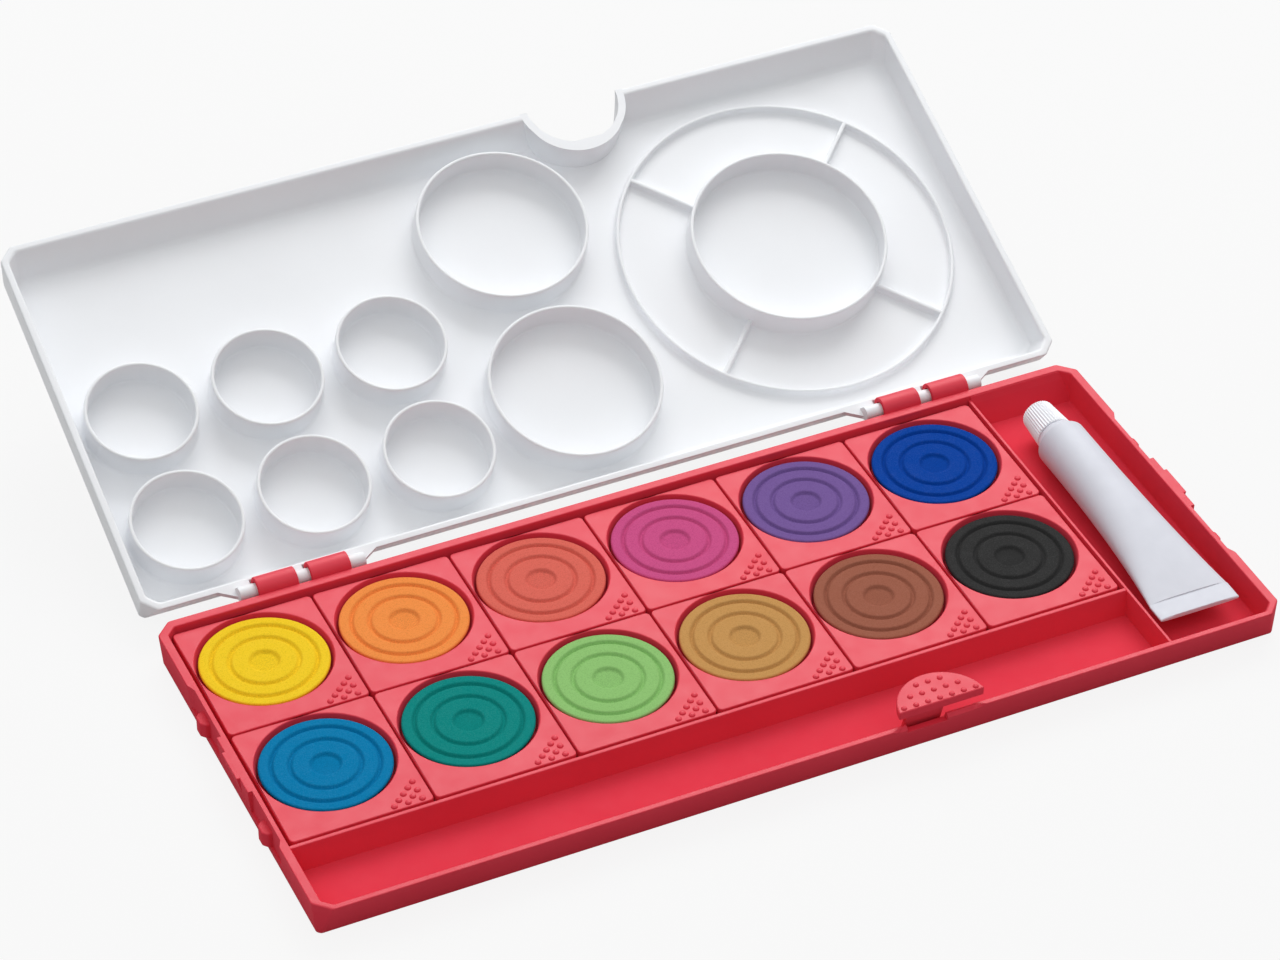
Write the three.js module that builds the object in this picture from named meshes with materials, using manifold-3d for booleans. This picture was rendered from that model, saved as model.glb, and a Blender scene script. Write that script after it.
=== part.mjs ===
// School paint box: a red tray with twelve lift-out colour pans, a brush channel and a tube bay,
// and a white lid whose inside is a mixing palette. The lid stands open on its two hinges.
// Millimetres, +X along the box, +Y towards the hinges, +Z up. Origin: middle of the tray's underside.
import * as THREE from 'three';
import { mergeVertices } from 'three/addons/utils/BufferGeometryUtils.js';
import Module from 'manifold-3d';

const wasm = await Module();
wasm.setup();

// Clearances and helper lengths
const runningGap = 0.3;
const overrun = 1;
const weldDistance = 0.0001;

// The tray: its outer walls lean in towards the foot
const trayLength = 237.2;
const trayDepth = 102.4;
const trayHeight = 8.8;
const floorThickness = 1.1;
const trayDraftX = 0.75;
const trayDraftY = 2.7;
const rimFront = 1.5;
const rimBack = 2.4;
const rimSide = 2.2;
const rimChamfer = 3.7;
const footChamfer = 0.8;
const innerChamfer = 2.2;

// How far each cavity wall leans in from the rim to the floor
const cavityDraft = 0.3;
const sideDraft = 0.45;
const frontDraft = 2.6;
const backDraft = 3.3;
const channelDraft = 1.2;

// The channel, the tube bay, the pans' margins between them and the two dividing walls
const channelWidth = 20.75;
const bayWidth = 26.02;
const panColumns = 6;
const panRows = 2;
const panSideGap = 0.4;
const panSideMargin = 0.9;
const panBackMargin = 0.7;
const panFrontMargin = 0.65;
const wallThickness = 1.0;
const bayOverlapShare = 0.6;
const wallBelowRim = 1.2;

// One pan: a plate with a round well, its foot tapered to sit in the tray
const panBelowRim = 1.4;
const panCorner = 1.0;
const panPlate = 1.2;
const panSkirt = 0.9;
const footTaper = 2.0;
const footTaperHeight = 1.7;

// The well in each pan and the tablet of colour in it
const wellRim = 0.35;
const wellClearance = 0.9;
const wellDepth = 4.3;
const wellWall = 0.9;
const wellShiftX = -0.5;
const wellShiftY = 2.4;
const tabletRecess = 0.55;
const grooveDepth = 0.35;
const grooveWidth = 1.5;
const grooveShares = [0.8, 0.54];
const dimpleShare = 0.2333;

// The finger grip in each pan's corner: studs in a staggered triangle
const studRadius = 0.6;
const studHeight = 0.35;
const gripSteps = 5;
const gripPitchShares = [0.098, 0.0777];
const gripMarginX = 2.45;
const gripMarginY = 1.25;

// The lid, a little deeper than the tray
const lidHeight = 8.7;
const lidSkin = 1.2;
const lidWall = 1.85;
const lidOverFront = 1.4;
const lidOverBack = 0.5;
const lidDraftX = 0.6;
const lidDraftFront = 4.3;
const lidDraftBack = 3.4;
const lidChamfer = 3.4;
const closedGap = 0.3;
const openAngle = THREE.MathUtils.degToRad(158.3);

// The thumb notch in the lid's front wall, and the lip in it that the catch holds
const notchX = 31.1;
const notchRadius = 12.0;
const lipSetback = 11.4;
const lipThickness = 1.0;
const lipClearance = 0.35;

// Mixing wells on the lid's inside: their columns are shares of its half length inside,
// and their rows shares of the tray's depth, from the back edge
const ringWall = 0.9;
const ringBelowRim = 0.7;
const smallColumnShares = [-0.8617, -0.5906, -0.3195];
const smallRowShares = [0.2002, 0.5029];
const smallRingGap = 2.28;
const mediumRowShares = [0.2773, 0.7363];
const mediumRingGap = 3.45;
const wheelColumnShare = 0.5854;
const wheelRowShare = 0.501;
const wheelMargin = 5.9;
const wheelBand = 17.75;
const wheelHeight = 2.0;
const spokeWidth = 1.1;
const spokeTurn = THREE.MathUtils.degToRad(45);
const spokeCount = 4;

// The hinges: red hooks on the tray over a white pin on the lid
const hingeBehind = 2.75;
const hingeBelowRim = 0.7;
const pinRadius = 1.6;
const hookWall = 1.1;
const hookWidth = 9.8;
const hookSpacing = 3.2;
const hookRootDepth = 1.7;
const hookTip = THREE.MathUtils.degToRad(-25);
const hookRoot = THREE.MathUtils.degToRad(222);
const hingeInsetLeft = 37.4;
const hingeInsetRight = 39.1;
const armWidth = 31.0;
const armFlare = 3.2;
const armThickness = 1.3;
const gussetShare = 0.8;
const lidRelief = 0.35;

// The half-moon catch in front, on a springy stem that stands in the channel
const catchX = 30.75;
const catchHalfWidth = 10.6;
const catchDepth = 9.6;
const catchThickness = 2.2;
const catchAboveRim = 1.6;
const catchSetback = 1.45;
const catchStudRows = [7, 5, 3];
const catchStudPitchX = 2.98;
const catchStudPitchY = 2.95;
const catchStudMargin = 1.1;
const stemWidth = 9.4;
const stemThickness = 1.0;
const stemShiftX = -3.95;
const stemGap = 0.6;
const scoopWidth = 21;
const scoopShiftX = -1.15;
const scoopDepth = 0.9;
const scoopDrop = 1.7;

// The coupling features on both short sides
const recessDepth = 1.1;
const recessDrop = 6.2;
const recessOuter = 29.0;
const recessInner = 9.7;
const recessRound = 2.4;
const blockWidth = 9.4;
const blockProud = 0.7;
const blockDrop = 4.6;
const lugCentre = 19.3;
const lugLength = 4.8;
const lugHeight = 4.0;
const lugProud = 2.1;
const lugZ = 4.5;

// The tube of opaque white and its screw cap
const tubeDiameter = 12.6;
const tubeShiftX = -1.29;
const crimpMargin = 8.7;
const capMargin = 11.5;
const crimpLength = 5.6;
const crimpWidth = 20.6;
const crimpThickness = 1.2;
const crimpDrop = 0.9;
const crimpShiftX = 0.1;
const tubeStationShares = [0, 0.16, 0.4, 0.7, 1];
const tubeFlatShares = [1, 0.66, 0.34, 0.1, 0];
const shoulderLength = 3.0;
const neckRadius = 2.8;
const neckLength = 6.5;
const capLength = 9.2;
const capBaseRadius = 4.75;
const capEndRadius = 4.0;
const capRibs = 20;
const capRibDepth = 0.25;
const capTopThickness = 1.6;

// Counts that set how finely round shapes are cut
const wellSides = 26;
const tabletSides = 22;
const ringSides = 32;
const wheelSides = 48;
const hookSides = 12;
const catchSides = 18;
const studSides = 5;
const tubeSides = 20;

// Paint colours, back row then front row, left to right
const paints = [
  ['yellow', 0xf0c82a], ['orange', 0xf09050], ['vermilion', 0xd9685e],
  ['magenta', 0xc8508a], ['violet', 0x74549a], ['ultramarine', 0x0a4a9e],
  ['cyan', 0x0a7fb8], ['turquoise', 0x178f80], ['green', 0x92c97a],
  ['ochre', 0xc49a5a], ['brown', 0xa0614a], ['black', 0x333433],
];

// Worked out from the driving sizes
const halfLength = trayLength / 2;
const halfDepth = trayDepth / 2;
const innerLeft = -halfLength + rimSide;
const innerRight = halfLength - rimSide;
const innerFront = -halfDepth + rimFront;
const innerBack = halfDepth - rimBack;
const panTop = trayHeight - panBelowRim;
const panFoot = floorThickness + runningGap;
const wallTop = trayHeight - wallBelowRim;
const dividerRight = innerRight - bayWidth;
const dividerLeft = dividerRight - wallThickness;
const channelWallFront = innerFront + channelWidth;
const channelWallBack = channelWallFront + wallThickness;
const fieldLeft = innerLeft + panSideMargin;
const fieldBack = innerBack - panBackMargin;
const panPitch = (dividerLeft - panSideGap - fieldLeft) / panColumns;
const rowPitch = (fieldBack - channelWallBack - panFrontMargin) / panRows;
const panHalfX = (panPitch - panSideGap) / 2;
const panHalfY = (rowPitch - panSideGap) / 2;
const wellRoomX = panHalfX - Math.abs(wellShiftX);
const wellRoomY = panHalfY - Math.abs(wellShiftY);
const wellRadius = Math.min(wellRoomX, wellRoomY) - wellRim;
const tabletRadius = wellRadius - wellClearance;
const wellFloor = panTop - wellDepth;
const lidRimZ = trayHeight + closedGap;
const lidTopZ = lidRimZ + lidHeight;
const lidFloorZ = lidTopZ - lidSkin;
const lidFront = -halfDepth - lidOverFront;
const lidBack = halfDepth + lidOverBack;
const lidHalfInside = halfLength - lidWall;
const smallPitch = (smallColumnShares[1] - smallColumnShares[0]) * lidHalfInside;
const smallRingRadius = smallPitch / 2 - smallRingGap;
const smallRingsEnd = smallColumnShares[2] * lidHalfInside + smallRingRadius;
const wheelX = wheelColumnShare * lidHalfInside;
const wheelRadius = lidHalfInside - wheelX - wheelMargin;
const hubRadius = wheelRadius - wheelBand;
const mediumRingX = (wheelX - wheelRadius + smallRingsEnd) / 2;
const mediumRingRadius = (wheelX - wheelRadius - smallRingsEnd) / 2 - mediumRingGap;
const hingeCentres = [-halfLength + hingeInsetLeft, halfLength - hingeInsetRight];
const hingeY = halfDepth + hingeBehind;
const hingeZ = trayHeight - hingeBelowRim;
const hookInner = pinRadius + runningGap;
const hookOuter = hookInner + hookWall;
const catchLow = trayHeight + catchAboveRim;
const catchHigh = catchLow + catchThickness;
const catchFront = -halfDepth + catchSetback;
const catchRadius = (catchHalfWidth * catchHalfWidth + catchDepth * catchDepth) / (2 * catchDepth);
const catchCentreY = catchFront + catchDepth - catchRadius;
const tubeX = (dividerRight + innerRight) / 2 + tubeShiftX;
const tubeZ = floorThickness + runningGap + tubeDiameter / 2;
const crimpY = innerFront + crimpMargin;
const capStart = innerBack - capMargin - capLength;
const neckY = capStart - runningGap;
const tubeBodyLength = neckY - shoulderLength - crimpY - crimpLength;

const redPlastic = () => new THREE.MeshStandardMaterial({ color: 0xe0404f, roughness: 0.42, metalness: 0 });
const whitePlastic = () => new THREE.MeshStandardMaterial({ color: 0xe4e6e9, roughness: 0.3, metalness: 0 });

// Geometry to solid and back
function solidOf(geometry) {
  const bare = geometry.clone();
  bare.deleteAttribute('normal');
  bare.deleteAttribute('uv');
  const merged = mergeVertices(bare, weldDistance);
  return new wasm.Manifold(new wasm.Mesh({
    numProp: 3,
    vertProperties: new Float32Array(merged.attributes.position.array),
    triVerts: new Uint32Array(merged.index.array),
  }));
}

function geometryOf(solid) {
  const mesh = solid.getMesh();
  const geometry = new THREE.BufferGeometry();
  const positions = new Float32Array(mesh.numVert * 3);
  for (let i = 0; i < mesh.numVert; i += 1) {
    for (let k = 0; k < 3; k += 1) positions[3 * i + k] = mesh.vertProperties[i * mesh.numProp + k];
  }
  geometry.setAttribute('position', new THREE.BufferAttribute(positions, 3));
  geometry.setIndex(new THREE.BufferAttribute(new Uint32Array(mesh.triVerts), 1));
  const faceted = geometry.toNonIndexed();
  faceted.computeVertexNormals();
  return faceted;
}

function named(name, geometry, material) {
  const mesh = new THREE.Mesh(geometry, material);
  mesh.name = name;
  return mesh;
}

// An upright prism on an outline of [x, y] points
function prism(outline, low, high) {
  const shape = new THREE.Shape(outline.map(([x, y]) => new THREE.Vector2(x, y)));
  const geometry = new THREE.ExtrudeGeometry(shape, { depth: high - low, bevelEnabled: false });
  geometry.translate(0, 0, low);
  return solidOf(geometry);
}

// A prism lying along X on an outline of [y, z] points
function beam(outline, low, high) {
  const shape = new THREE.Shape(outline.map(([y, z]) => new THREE.Vector2(y, z)));
  const geometry = new THREE.ExtrudeGeometry(shape, { depth: high - low, bevelEnabled: false });
  const turn = new THREE.Matrix4().makeBasis(
    new THREE.Vector3(0, 1, 0), new THREE.Vector3(0, 0, 1), new THREE.Vector3(1, 0, 0));
  geometry.applyMatrix4(turn);
  geometry.translate(low, 0, 0);
  return solidOf(geometry);
}

// An upright cylinder
function post(x, y, radius, low, high, sides) {
  const geometry = new THREE.CylinderGeometry(radius, radius, high - low, sides);
  geometry.rotateX(Math.PI / 2);
  geometry.translate(x, y, (low + high) / 2);
  return solidOf(geometry);
}

// A round bar along X
function bar(y, z, radius, low, high, sides) {
  const geometry = new THREE.CylinderGeometry(radius, radius, high - low, sides);
  geometry.rotateZ(Math.PI / 2);
  geometry.translate((low + high) / 2, y, z);
  return solidOf(geometry);
}

// A closed body through rings of [x, y, z] points, all with the same number of points
function skinned(rings) {
  const count = rings[0].length;
  const index = [];
  for (let level = 0; level + 1 < rings.length; level += 1) {
    for (let i = 0; i < count; i += 1) {
      const a = level * count + i;
      const b = level * count + ((i + 1) % count);
      index.push(a, b, b + count, a, b + count, a + count);
    }
  }
  const last = (rings.length - 1) * count;
  for (let i = 1; i + 1 < count; i += 1) index.push(0, i + 1, i, last, last + i, last + i + 1);
  const geometry = new THREE.BufferGeometry();
  geometry.setAttribute('position', new THREE.BufferAttribute(new Float32Array(rings.flat(2)), 3));
  geometry.setIndex(index);
  return solidOf(geometry);
}

// A rectangle [left, right, front, back] with its corners cut off, or left sharp where a cut is zero
// The cuts are for the front left, front right, back right and back left corner
function outlineOf([left, right, front, back], cuts) {
  const [frontLeft, frontRight, backRight, backLeft] = cuts;
  const corners = [
    [left + frontLeft, front], [right - frontRight, front],
    [right, front + frontRight], [right, back - backRight],
    [right - backRight, back], [left + backLeft, back],
    [left, back - backLeft], [left, front + frontLeft],
  ];
  return corners.filter(([x, y], i) => {
    const [nextX, nextY] = corners[(i + 1) % corners.length];
    return x !== nextX || y !== nextY;
  });
}

// A body through level rectangles; each level has its height, each side's inset and its cuts
function tapered(rectangle, levels) {
  const [left, right, front, back] = rectangle;
  return skinned(levels.map(({ z, inset, cuts }) => {
    const drawn = [left + inset[0], right - inset[1], front + inset[2], back - inset[3]];
    return outlineOf(drawn, cuts).map(([x, y]) => [x, y, z]);
  }));
}

const allSides = (value) => [value, value, value, value];

function arc(centreA, centreB, radius, from, to, steps) {
  const points = [];
  for (let i = 0; i <= steps; i += 1) {
    const angle = from + ((to - from) * i) / steps;
    points.push([centreA + radius * Math.cos(angle), centreB + radius * Math.sin(angle)]);
  }
  return points;
}

// A low stud standing on a level face
function stud(x, y, z) {
  const geometry = new THREE.CylinderGeometry(studRadius / 2, studRadius, studHeight * 2, studSides);
  geometry.rotateX(Math.PI / 2);
  geometry.translate(x, y, z);
  return solidOf(geometry);
}

// A cavity of the tray: it leans from the floor to the rim and goes on straight above it
function cavity(rectangle, floorInset, cuts) {
  return tapered(rectangle, [
    { z: floorThickness, inset: floorInset, cuts },
    { z: trayHeight, inset: allSides(0), cuts },
    { z: trayHeight + overrun, inset: allSides(0), cuts },
  ]);
}

// The pan pocket: nearly upright walls over a tapered foot; it ends inside both dividing walls
function panPocket() {
  const cuts = [0, 0, 0, innerChamfer];
  const right = (dividerLeft + dividerRight) / 2;
  const front = (channelWallFront + channelWallBack) / 2;
  return tapered([innerLeft, right, front, innerBack], [
    { z: floorThickness, inset: [footTaper, 0, 0, footTaper], cuts },
    { z: floorThickness + footTaperHeight, inset: [cavityDraft, 0, 0, cavityDraft], cuts },
    { z: trayHeight + overrun, inset: allSides(0), cuts },
  ]);
}

// The wall behind the channel, with a slanting front
function channelWall() {
  const low = floorThickness / 2;
  const outline = [
    [channelWallFront - channelDraft, low], [channelWallBack + cavityDraft, low],
    [channelWallBack, wallTop], [channelWallFront, wallTop],
  ];
  return beam(outline, innerLeft - rimSide / 4, dividerLeft + wallThickness / 2);
}

// The wall beside the tube bay, a little thicker at its foot; its ends lean with the outer walls
function bayWall() {
  const spread = -cavityDraft / 2;
  return tapered([dividerLeft, dividerRight, innerFront - rimFront / 4, innerBack + rimBack / 4], [
    { z: floorThickness / 2, inset: [spread, spread, frontDraft, backDraft], cuts: allSides(0) },
    { z: wallTop, inset: allSides(0), cuts: allSides(0) },
  ]);
}

// The four hooks' places along X, as [low, high]
function hookSpans() {
  return hingeCentres.flatMap((centre) => [-1, 1].map((side) => {
    const middle = centre + (side * (hookWidth + hookSpacing)) / 2;
    return [middle - hookWidth / 2, middle + hookWidth / 2];
  }));
}

function makeHook([low, high]) {
  const rootY = halfDepth - hookRootDepth;
  const outline = [
    ...arc(hingeY, hingeZ, hookOuter, hookTip, Math.PI, hookSides),
    [rootY, hingeZ],
    [rootY, hingeZ - hookOuter],
    [halfDepth, hingeZ - hookOuter + hookWall],
    ...arc(hingeY, hingeZ, hookInner, hookRoot, hookTip, hookSides),
  ];
  return beam(outline, low, high);
}

// One recess in an end wall: dir is the end, -1 or 1, and sign its half towards front or back
function sideRecess(dir, sign) {
  const outer = dir * (halfLength + overrun);
  const inner = dir * (halfLength - recessDepth);
  const near = sign * recessInner;
  const far = sign * recessOuter;
  const round = sign * (recessOuter - recessRound);
  const outline = [[outer, near], [inner, near], [inner, round], [dir * halfLength, far], [outer, far]];
  if (dir * sign > 0) outline.reverse();
  return prism(outline, trayHeight - recessDrop, trayHeight + overrun);
}

// The rounded lug in the middle of a recess
function sideLug(dir, sign) {
  const root = halfLength - recessDepth - rimSide / 4;
  const tip = halfLength - recessDepth + lugProud;
  const cheek = tip - lugProud / 2;
  const middle = sign * lugCentre;
  const half = lugLength / 2;
  const outline = [
    [dir * root, middle - half], [dir * cheek, middle - half], [dir * tip, middle - half / 2],
    [dir * tip, middle + half / 2], [dir * cheek, middle + half], [dir * root, middle + half],
  ];
  if (dir < 0) outline.reverse();
  return prism(outline, lugZ - lugHeight / 2, lugZ + lugHeight / 2);
}

// The block in the middle of an end wall, sloping back to the wall below
function sideBlock(dir) {
  const wall = dir * (halfLength - rimSide / 2);
  const outer = dir * (halfLength + blockProud);
  const foot = dir * (halfLength - rimSide / 4);
  const low = trayHeight - blockDrop;
  const outline = [[wall, low], [foot, low], [outer, trayHeight], [wall, trayHeight]];
  if (dir < 0) outline.reverse();
  const shape = new THREE.Shape(outline.map(([x, z]) => new THREE.Vector2(x, z)));
  const geometry = new THREE.ExtrudeGeometry(shape, { depth: blockWidth, bevelEnabled: false });
  geometry.rotateX(Math.PI / 2);
  geometry.translate(0, blockWidth / 2, 0);
  return solidOf(geometry);
}

// The finger scoop in the front rim
function rimScoop() {
  const low = catchX + scoopShiftX - scoopWidth / 2;
  const front = -halfDepth - overrun;
  const top = trayHeight + overrun;
  const outline = [
    [front, trayHeight - scoopDrop], [-halfDepth, trayHeight - scoopDrop],
    [-halfDepth + scoopDepth, trayHeight], [-halfDepth + scoopDepth, top], [front, top],
  ];
  return beam(outline, low, low + scoopWidth);
}

// The gap in the front rim through which the catch's stem can be seen
function stemSlot() {
  const low = catchX + stemShiftX - stemWidth / 2 - runningGap;
  const high = low + stemWidth + 2 * runningGap;
  const foot = trayHeight - scoopDrop;
  const outline = [
    [-halfDepth - overrun, foot], [innerFront + overrun, foot],
    [innerFront + overrun, trayHeight + overrun], [-halfDepth - overrun, trayHeight + overrun],
  ];
  return beam(outline, low, high);
}

function makeTray() {
  let tray = tapered([-halfLength, halfLength, -halfDepth, halfDepth], [
    { z: 0, inset: [trayDraftX, trayDraftX, trayDraftY, trayDraftY], cuts: allSides(footChamfer) },
    { z: trayHeight, inset: allSides(0), cuts: allSides(rimChamfer) },
  ]);
  const inBayWall = dividerRight - wallThickness * bayOverlapShare;
  const inChannelWall = channelWallBack - wallThickness / 4;
  const hollows = [
    panPocket(),
    cavity([innerLeft, dividerLeft + wallThickness / 2, innerFront, inChannelWall],
      [sideDraft, 0, frontDraft, 0], [innerChamfer, 0, 0, 0]),
    cavity([inBayWall, innerRight, innerFront, innerBack],
      [0, sideDraft, frontDraft, backDraft], [0, innerChamfer, innerChamfer, 0]),
  ];
  for (const hollow of hollows) tray = tray.subtract(hollow);
  tray = tray.add(channelWall()).add(bayWall()).subtract(rimScoop()).subtract(stemSlot());
  for (const dir of [-1, 1]) {
    for (const sign of [-1, 1]) tray = tray.subtract(sideRecess(dir, sign)).add(sideLug(dir, sign));
    tray = tray.add(sideBlock(dir));
  }
  for (const span of hookSpans()) tray = tray.add(makeHook(span));
  return named('tray', geometryOf(tray), redPlastic());
}

function panCentre(index) {
  const column = index % panColumns;
  const row = Math.floor(index / panColumns);
  return [fieldLeft + (column + 0.5) * panPitch, fieldBack - (row + 0.5) * rowPitch];
}

// One pan about its own middle
function makePan() {
  const rectangle = [-panHalfX, panHalfX, -panHalfY, panHalfY];
  const cuts = allSides(panCorner);
  const plate = tapered(rectangle, [
    { z: panFoot, inset: allSides(footTaper), cuts },
    { z: panFoot + footTaperHeight, inset: allSides(0), cuts },
    { z: panTop, inset: allSides(0), cuts },
  ]);
  const skirt = footTaper + panSkirt;
  const below = panFoot - overrun;
  const under = tapered(rectangle, [
    { z: below, inset: allSides(skirt), cuts },
    { z: panTop - panPlate, inset: allSides(skirt), cuts },
  ]);
  const cup = post(wellShiftX, wellShiftY, wellRadius + wellWall, wellFloor - wellWall, panTop, wellSides);
  const well = post(wellShiftX, wellShiftY, wellRadius, wellFloor, panTop + overrun, wellSides);
  let pan = plate.subtract(under.subtract(cup)).subtract(well);
  for (let column = 0; column < gripSteps; column += 1) {
    for (let level = column % 2; column + level < gripSteps; level += 2) {
      const x = panHalfX - gripMarginX - column * gripPitchShares[0] * panHalfX;
      const y = -panHalfY + gripMarginY + level * gripPitchShares[1] * panHalfY;
      pan = pan.add(stud(x, y, panTop));
    }
  }
  return pan;
}

// The pressed tablet of colour, with two turned grooves round a dished middle
function makeTablet() {
  const radius = tabletRadius;
  const top = panTop - tabletRecess;
  const bottom = wellFloor + runningGap;
  const half = grooveWidth / 2;
  const low = top - grooveDepth;
  const groove = (centre) => [[centre + half, top], [centre, low], [centre - half, top]];
  const profile = [
    [0, bottom], [radius, bottom], [radius, low], [radius - grooveDepth, top],
    ...grooveShares.flatMap((share) => groove(share * radius)),
    [dimpleShare * radius + half, top], [dimpleShare * radius, low], [0, low],
  ];
  const geometry = new THREE.LatheGeometry(profile.map(([r, z]) => new THREE.Vector2(r, z)), tabletSides);
  geometry.rotateX(Math.PI / 2);
  geometry.translate(wellShiftX, wellShiftY, 0);
  return solidOf(geometry);
}

// A ring wall that hangs from the closed lid's ceiling
function lidRing(x, row, radius, height, sides) {
  const y = halfDepth - row;
  const low = lidFloorZ - height;
  return post(x, y, radius, low, lidFloorZ + lidSkin / 2, sides)
    .subtract(post(x, y, radius - ringWall, low - overrun, lidFloorZ, sides));
}

function addMixingWells(shell) {
  const ringHeight = lidFloorZ - lidRimZ - ringBelowRim;
  let lid = shell;
  const wheelRow = wheelRowShare * trayDepth;
  for (const column of smallColumnShares) {
    for (const row of smallRowShares) {
      const x = column * lidHalfInside;
      lid = lid.add(lidRing(x, row * trayDepth, smallRingRadius, ringHeight, ringSides));
    }
  }
  for (const row of mediumRowShares) {
    lid = lid.add(lidRing(mediumRingX, row * trayDepth, mediumRingRadius, ringHeight, ringSides));
  }
  lid = lid.add(lidRing(wheelX, wheelRow, hubRadius, ringHeight, ringSides));
  lid = lid.add(lidRing(wheelX, wheelRow, wheelRadius, wheelHeight, wheelSides));
  for (let i = 0; i < spokeCount; i += 1) {
    const spoke = new THREE.BoxGeometry(wheelRadius - hubRadius, spokeWidth, wheelHeight + lidSkin / 2);
    spoke.translate((wheelRadius + hubRadius - ringWall) / 2, 0, lidFloorZ - wheelHeight / 2 + lidSkin / 4);
    spoke.rotateZ(spokeTurn + (i * 2 * Math.PI) / spokeCount);
    spoke.translate(wheelX, halfDepth - wheelRow, 0);
    lid = lid.add(solidOf(spoke));
  }
  return lid;
}

// The catch's outline grown by a margin and drawn out past the lid's front
function catchRelief(margin, low, high) {
  const radius = catchRadius + margin;
  const front = lidFront - overrun;
  const outline = [
    [catchX + radius, front],
    ...arc(catchX, catchCentreY, radius, 0, Math.PI, catchSides),
    [catchX - radius, front],
  ];
  return prism(outline, low, high);
}

// The thumb notch: its wall follows it round, and a lip at the rim gives the catch its hold
function cutNotch(shell, outer) {
  const wide = notchRadius + lidWall;
  const wall = post(notchX, lidFront, wide, lidRimZ, lidFloorZ + lidSkin / 2, ringSides)
    .add(catchRelief(lipClearance + lidWall, lidRimZ, lidFloorZ + lidSkin / 2))
    .intersect(outer);
  const lipTop = lidRimZ + lipThickness;
  const lipEdge = lidFront + lipSetback;
  const mouth = outlineOf([notchX - wide, notchX + wide, lidFront - overrun - wide, lipEdge], allSides(0));
  const below = post(notchX, lidFront, notchRadius, lidRimZ - overrun, lipTop, ringSides)
    .intersect(prism(mouth, lidRimZ - overrun, lipTop));
  const above = post(notchX, lidFront, notchRadius, lipTop, lidTopZ + overrun, ringSides)
    .add(catchRelief(lipClearance, lipTop, lidTopZ + overrun));
  return shell.add(wall).subtract(below).subtract(above);
}

// The arms, gussets and pins of both hinges, with room for the tray's hooks
function addHinges(shell) {
  let lid = shell;
  for (const centre of hingeCentres) {
    const half = armWidth / 2;
    const root = lidBack - lidWall;
    const armOutline = [
      [centre + half + armFlare, root], [centre + half, hingeY],
      [centre - half, hingeY], [centre - half - armFlare, root],
    ];
    const gusset = [
      [hingeY - pinRadius, lidRimZ], [hingeY, hingeZ], [hingeY + pinRadius * gussetShare, hingeZ],
      [hingeY, lidRimZ + armThickness],
    ];
    lid = lid.add(prism(armOutline, lidRimZ, lidRimZ + armThickness));
    lid = lid.add(bar(hingeY, hingeZ, pinRadius, centre - half, centre + half, hookSides));
    lid = lid.add(beam(gusset, centre - half, centre + half));
  }
  const clear = hookOuter + runningGap + lidRelief;
  for (const [low, high] of hookSpans()) {
    const room = bar(hingeY, hingeZ, clear, low - runningGap, high + runningGap, ringSides)
      .subtract(bar(hingeY, hingeZ, pinRadius, low - overrun, high + overrun, hookSides));
    lid = lid.subtract(room);
  }
  return lid;
}

// The lid in its closed place, rim down
function makeLid() {
  const drafts = [lidDraftX, lidDraftX, lidDraftFront, lidDraftBack];
  const rectangle = [-halfLength, halfLength, lidFront, lidBack];
  const outer = tapered(rectangle, [
    { z: lidRimZ, inset: allSides(0), cuts: allSides(lidChamfer) },
    { z: lidTopZ, inset: drafts, cuts: allSides(footChamfer) },
  ]);
  const innerCuts = allSides(lidChamfer - lidWall / 2);
  const hollow = tapered(rectangle.map((value, i) => value + (i % 2 ? -lidWall : lidWall)), [
    { z: lidRimZ - overrun, inset: allSides(0), cuts: innerCuts },
    { z: lidRimZ, inset: allSides(0), cuts: innerCuts },
    { z: lidFloorZ, inset: drafts, cuts: innerCuts },
  ]);
  const shell = addMixingWells(outer.subtract(hollow));
  return addHinges(cutNotch(shell, outer));
}

// Turns the closed lid open about the hinge line
function openLid(lid) {
  const geometry = geometryOf(lid);
  geometry.translate(0, -hingeY, -hingeZ);
  const mesh = named('lid', geometry, whitePlastic());
  mesh.position.set(0, hingeY, hingeZ);
  mesh.rotation.x = -openAngle;
  return mesh;
}

// The catch: a half-moon plate on a stem that leans like the tray's front wall
function makeCatch() {
  const from = Math.asin((catchFront - catchCentreY) / catchRadius);
  const outline = arc(catchX, catchCentreY, catchRadius, from, Math.PI - from, catchSides);
  let body = prism(outline, catchLow, catchHigh);
  const slope = frontDraft / (trayHeight - floorThickness);
  const stemY = (z) => innerFront + stemGap + (trayHeight - z) * slope;
  const stemTop = catchLow + catchThickness / 2;
  const stem = [
    [stemY(panFoot), panFoot], [stemY(panFoot) + stemThickness, panFoot],
    [stemY(catchLow) + stemThickness, stemTop], [stemY(catchLow), stemTop],
  ];
  const stemLow = catchX + stemShiftX - stemWidth / 2;
  body = body.add(beam(stem, stemLow, stemLow + stemWidth));
  catchStudRows.forEach((count, row) => {
    for (let i = 0; i < count; i += 1) {
      const x = catchX + (i - (count - 1) / 2) * catchStudPitchX;
      const y = catchFront + catchStudMargin + row * catchStudPitchY;
      body = body.add(stud(x, y, catchHigh));
    }
  });
  return named('catch', geometryOf(body), redPlastic());
}

// A ring of points round the tube's axis at one place along it
function tubeRing(x, y, z, halfX, halfZ, count) {
  return Array.from({ length: count }, (_, i) => {
    const angle = (i / count) * 2 * Math.PI;
    return [x + halfX * Math.sin(angle), y, z + halfZ * Math.cos(angle)];
  });
}

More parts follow.
